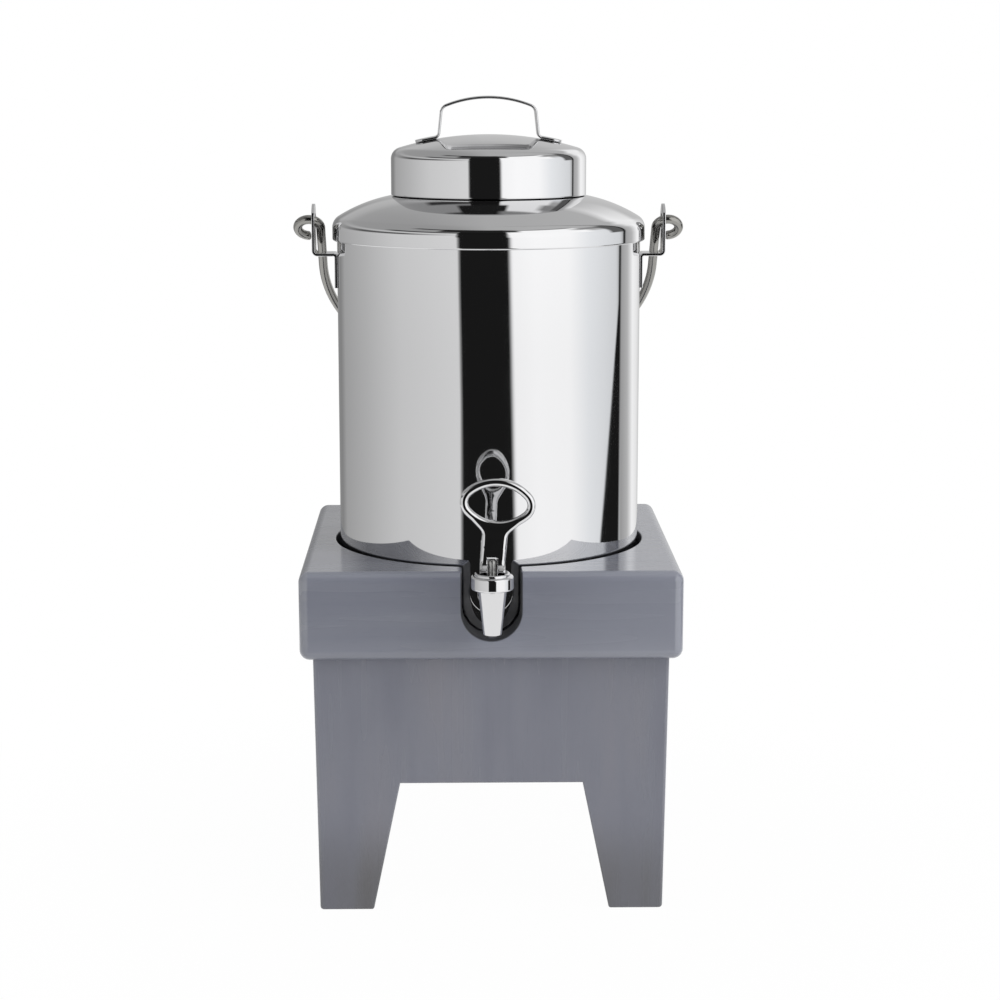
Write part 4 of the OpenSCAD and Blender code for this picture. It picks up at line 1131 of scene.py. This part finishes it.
# %% Stem, pin and seat cup
STEM_Z, STEM_TIP_R, PIN_R, PIN_HALF, PIN_AXIS = 191.0, 2.0, 1.2, 7.0, (0, TAP_Y, PIN_Z)
SEAT_R, CUP_R, CUP_Z, CUP_TOP = 3.7, 4.5, 188.5, 196.0
stem = [(0, STEM_Z), (STEM_TIP_R, STEM_Z), (STEM_TIP_R, CUP_TOP), (STEM_R, CUP_TOP), (STEM_R, PIN_Z - 0.6)]
stem += arc(0, PIN_Z, STEM_R, 0, 90, 9)
settle(lathe("tap_stem", stem, turned_steel, closed=False, around=64, centre=TAP_AXIS), "stem", "inner_steel",
       "tap_stem")
pin = rounded([(0, -PIN_HALF, 0), (PIN_R, -PIN_HALF, 0.25), (PIN_R, PIN_HALF, 0.25), (0, PIN_HALF, 0)],
              closed=False, guard=0.1)
settle(lathe("lever_pin", pin, turned_steel, closed=False, around=40, axis="x", centre=PIN_AXIS), "stem",
       "inner_steel", "lever_pin")
socket_r, socket_z = STEM_TIP_R + FIT / 2, STEM_Z - FIT
cup = rounded([
    (0, CUP_Z, 0), (SEAT_R, CUP_Z, 0.3), (CUP_R, CUP_Z + 2, 0.4), (CUP_R, CUP_TOP, 0.3),
    (socket_r, CUP_TOP, 0), (socket_r, socket_z, 0), (0, socket_z, 0)], closed=False, guard=0.1)
settle(lathe("seat_cup", cup, silicone, closed=False, around=48, centre=TAP_AXIS), "stem", "silicone",
       "seat_cup")


# %% [markdown]
# The two sealing rings and the nut are simple solids that the CAD model already has right. Its meshes
# are loose triangles, so a copy is merged and smoothed before it stands in for the node.

# %% Rings and nut
LOOSE_WELD, NUT_EASE = 2e-6, 0.6


def merged_copy(name, node, material, limit=30.0):
    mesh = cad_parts[node].data.copy()
    mesh.materials.clear()
    mesh.materials.append(material)
    bm = bmesh.new()
    bm.from_mesh(mesh)
    bmesh.ops.remove_doubles(bm, verts=bm.verts, dist=LOOSE_WELD)
    bmesh.ops.dissolve_limit(bm, angle_limit=radians(1), verts=bm.verts, edges=bm.edges)
    bm.to_mesh(mesh)
    bm.free()
    tidy(mesh, limit)
    return added(name, mesh)


settle(merged_copy("seal_outer", "outer_gasket", silicone), "can", "silicone", "outer_gasket")
settle(merged_copy("seal_inner", "inner_gasket", silicone), "can", "silicone", "inner_gasket")
nut = merged_copy("tap_nut_inside", "tap_nut", turned_steel)
ease(nut, NUT_EASE, lambda e: 1.0 if e.is_convex else 0.0, segments=3)
settle(nut, "can", "inner_steel", "tap_nut")

# %% [markdown]
# The spring that closes the valve is a coil of thin wire between the seat cup and the bonnet. It uses
# the same wire tree as the carrying handle, along a helix. It is blended between the stem and the can,
# so that it shortens as the cup lifts.

# %% Spring
COIL_R, COIL_WIRE, TURNS, COIL_LOW, COIL_HIGH = 3.9, 0.45, 5, 196.5, 209.1
steps = 40 * TURNS
coil_path = [(COIL_R * cos(2 * pi * TURNS * i / steps), TAP_Y + COIL_R * sin(2 * pi * TURNS * i / steps),
              COIL_LOW + (COIL_HIGH - COIL_LOW) * i / steps) for i in range(steps + 1)]
spring = wire("tap_spring", coil_path, COIL_WIRE, 10, drawn_wire)
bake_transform(spring, "stem", "can", start=place((0, TAP_Y, COIL_LOW)), end=place((0, TAP_Y, COIL_HIGH)))
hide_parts("tap_spring")
print(spring.name, len(spring.data.polygons), "faces")

# %% [markdown]
# ## The lever
# The lever is cast and polished: a fork that straddles the stem, a shank, and an oval loop for one
# finger. Its outline is drawn flat and filled as a curve with a round bevel, which gives the soft edges
# of a polished casting. The shank is then thickened towards the fork, and the fork is joined on.

# %% Lever plate
LOOP_A, LOOP_B, LOOP_UP, END_R, BAR = 19.0, 12.2, 33.9, 7.5, 4.6
LOOP_END = LOOP_A - END_R
# the long arcs of the oval run smoothly into the small arcs at its ends
LOOP_R = (LOOP_END ** 2 + LOOP_B ** 2 - END_R ** 2) / (2 * (LOOP_B - END_R))
LOOP_C = LOOP_R - LOOP_B
LOOP_T = degrees(acos(LOOP_C / (LOOP_R - END_R)))
SHANK_W, SHANK_T, LEAN = 7.2, 6.4, radians(5)
# a web at each side runs down at a slope from the loop to the shank
WEB_SLOPE = 1.1
web_x = LOOP_R * sin(radians(LOOP_T)) - 1
web_z = LOOP_UP + LOOP_C - sqrt(LOOP_R ** 2 - web_x ** 2)
SHANK_TOP = web_z - (web_x - SHANK_W) * WEB_SLOPE


def loop_outline(grow):
    points = []
    for cx, cz, r, a0, a1, step in (
            (0, -LOOP_C, LOOP_R, 90 - LOOP_T, 90 + LOOP_T, 3),
            (-LOOP_END, 0, END_R, 90 + LOOP_T, 270 - LOOP_T, 8),
            (0, LOOP_C, LOOP_R, 270 - LOOP_T, 270 + LOOP_T, 3),
            (LOOP_END, 0, END_R, LOOP_T - 90, 90 - LOOP_T, 8)):
        points += [(x, LOOP_UP + z) for x, z in arc(cx, cz, r + grow, a0, a1, step)[:-1]]
    return points


outer = loop_outline(BAR / 2)
hole = loop_outline(-BAR / 2)
CUT_X, NECK_ROUND, PLATE_END = 13.2, 5.0, 4.0
kept = [p for p in outer if not (abs(p[0]) < CUT_X and p[1] < LOOP_UP)]
first = max(range(len(kept)), key=lambda i: dist(kept[i], kept[i - 1]))
kept = kept[first:] + kept[:first]
neck = rounded([
    (*kept[-1], 0), (-SHANK_W, SHANK_TOP - 1.0, NECK_ROUND), (-SHANK_W, PLATE_END, 0),
    (SHANK_W, PLATE_END, 0), (SHANK_W, SHANK_TOP - 1.0, NECK_ROUND), (*kept[0], 0)], closed=False, steps=8)
if kept[0][0] < kept[-1][0]:
    neck = [(-x, z) for x, z in neck]
outline = kept + neck[1:-1]


def plate_curve(name, loops, thick, round_mm):
    curve = bpy.data.curves.new(name, "CURVE")
    curve.dimensions = "2D"
    curve.fill_mode = "BOTH"
    for points in loops:
        line = curve.splines.new("POLY")
        line.points.add(len(points) - 1)
        for spot, (x, z) in zip(line.points, points):
            spot.co = (x * MM, z * MM, 0, 1)
        line.use_cyclic_u = True
    curve.offset = -round_mm * MM
    curve.bevel_depth = round_mm * MM
    curve.bevel_resolution = 5
    curve.extrude = (thick / 2 - round_mm) * MM
    drawn = added(name, curve)
    graph = bpy.context.evaluated_depsgraph_get()
    mesh = bpy.data.meshes.new_from_object(drawn.evaluated_get(graph))
    bpy.data.objects.remove(drawn)
    return mesh


PLATE_ROUND, SWELL, SWELL_FROM, SWELL_RUN = 1.9, 0.39, 24.0, 14.0
plate_mesh = plate_curve("lever_plate", [outline, hole], BAR, PLATE_ROUND)
for v in plate_mesh.vertices:
    x, z, y = v.co.x / MM, v.co.y / MM, -v.co.z / MM
    swell_here = min(1.0, max(0.0, (SWELL_FROM - z) / SWELL_RUN))
    y *= 1 + SWELL * swell_here * swell_here * (3 - 2 * swell_here)
    v.co = place((x * cos(LEAN) + z * sin(LEAN), TAP_Y + y, PIN_Z - x * sin(LEAN) + z * cos(LEAN)))
plate_mesh.materials.clear()
plate_mesh.materials.append(mirror_steel)
tidy(plate_mesh, limit=40)
lever = added("tap_lever", plate_mesh)
print("lever plate", len(plate_mesh.polygons), "faces")

# %% Fork of the lever
# the sole goes on a little past the full tilt
SOLE, LIFT, TILT, SOLE_END = 5.4, 2.5, radians(35), radians(39)
SLOT_HALF, SLOT_UP, PIN_HOLE_R, FORK_EASE = 3.0, 2.9, 1.25, 0.5
# the outer edges of the fork go on from the round edges of the thickened shank
EDGE, EDGE_Y = PLATE_ROUND, PLATE_ROUND * (1 + SWELL)
# its upper end sinks a little into the shank, so that no seam shows
SINK = 0.12
ROLL = LIFT / TILT


def sole_point(a):
    """A point of the sole, which rolls on the bonnet and lifts the stem evenly as the lever tilts."""
    drop = SOLE + ROLL * a
    return (-drop * sin(a) - ROLL * cos(a), -drop * cos(a) + ROLL * sin(a))


sole = [sole_point(SOLE_END * i / 8) for i in range(9)]
toe_x, toe_z = sole[-1]
flare_w = -toe_x - SHANK_T / 2
flare = [(-SHANK_T / 2 - flare_w * (1 - sin(radians(a))), toe_z + 0.6 + 1.1 * flare_w * (1 - cos(radians(a))))
         for a in range(0, 91, 9)]
front_half = sole + flare + [(-SHANK_T / 2 - SINK / 3, SOLE + 1.2), (-SHANK_T / 2 + SINK, SOLE + 5)]
profile = front_half + [(-y, z) for y, z in reversed(front_half)]
slices = [(SHANK_W - SINK / 4 - EDGE * (1 - sin(radians(t))), EDGE_Y * (1 - cos(radians(t))))
          for t in range(0, 91, 15)]
slices = [(-x, inset) for x, inset in reversed(slices)] + slices
fork_points = []
for x, inset in slices:
    for y, z in profile:
        keep = min(1.0, max(0.0, (z - toe_z) / 2.0))
        y -= copysign(min(abs(y), inset * keep), y)
        fork_points.append((x + max(0.0, z) * tan(LEAN), TAP_Y + y, PIN_Z + z))
fork = solid("fork", fork_points, ring_faces(len(slices), len(profile)), mirror_steel, limit=30)
cut = [(x, TAP_Y + y, PIN_Z + z) for z in (-9, SLOT_UP) for y in (-12, 12) for x in (-SLOT_HALF, SLOT_HALF)]
pin_bore = cutter("pin_bore", PIN_HOLE_R, -12, 12, 40, mirror_steel, "x", PIN_AXIS)
carve(fork, solid("fork_slot", cut, box_faces, mirror_steel), limit=30)
ease(fork, FORK_EASE, lambda e: 1.0 if e.is_convex and e.calc_face_angle(0) > radians(40) else 0.0,
     segments=3)
carve(fork, pin_bore, limit=30)
carve(lever, fork, how="UNION", limit=32)
settle(lever, "lever", "polished_steel", "tap_lever")

# %% [markdown]
# ## The dowels
# Eight fluted beech dowels hold the panels to the board. They repeat, so Geometry Nodes place copies of
# one dowel on points, and the copies are made real for the export.

# %% Dowels, with Geometry Nodes
DOWEL_R, DOWEL_L, CHAMFER, TIP_SHARE, FLUTES, FLUTE_SHARE = 4.0, 24.0, 1.2, 0.84, 12, 0.95
along_front, along_side = FRAME_W * 0.36, FRAME_W * 0.29
side_off = FRAME_W / 2 - PANEL_T / 2 - TAPER * DOWEL_L / 4 / LEG_H
spots = [(x * along_front, y * side_off, LEG_H) for x in (-1, 1) for y in (-1, 1)]
spots += [(x * side_off, y * along_side, LEG_H) for x in (-1, 1) for y in (-1, 1)]
straight = DOWEL_L / 2 - CHAMFER
rings = [(-DOWEL_L / 2, TIP_SHARE), (-straight, 1.0), (straight, 1.0), (DOWEL_L / 2, TIP_SHARE)]
ridge = FLUTES * 4
peg_points = []
for z, part in rings:
    for i in range(ridge):
        r = DOWEL_R * part * (FLUTE_SHARE if i % 4 == 0 else 1.0)
        peg_points.append((r * cos(2 * pi * i / ridge) * MM, r * sin(2 * pi * i / ridge) * MM, z * MM))
peg_mesh = bpy.data.meshes.new("peg")
peg_mesh.from_pydata(peg_points, [], ring_faces(len(rings), ridge))
tidy(peg_mesh, limit=50)
peg = added("peg", peg_mesh)
peg_tree, peg_in = node_group("pegs_on_points", [
    ("Peg", "NodeSocketObject", None), ("Finish", "NodeSocketMaterial", None)])
model = put(peg_tree, "GeometryNodeObjectInfo", {"Object": peg_in.outputs["Peg"], "As Instance": True})
copies = put(peg_tree, "GeometryNodeInstanceOnPoints", {
    "Points": peg_in.outputs["Geometry"], "Instance": model.outputs["Geometry"]})
real = put(peg_tree, "GeometryNodeRealizeInstances", {"Geometry": copies.outputs[0]})
coat = put(peg_tree, "GeometryNodeSetMaterial", {
    "Geometry": real.outputs[0], "Material": peg_in.outputs["Finish"]})
put(peg_tree, "NodeGroupOutput", {0: coat.outputs[0]})
dowel_mesh = bpy.data.meshes.new("dowel_points")
dowel_mesh.from_pydata([tuple(place(p)) for p in spots], [], [])
dowels = grown(added("dowel_pegs", dowel_mesh), peg_tree, Peg=peg, Finish=bare_beech)
bpy.data.objects.remove(peg)
tidy(dowels.data, limit=50)
settle(dowels, "stand", "dowel_wood", "dowels")
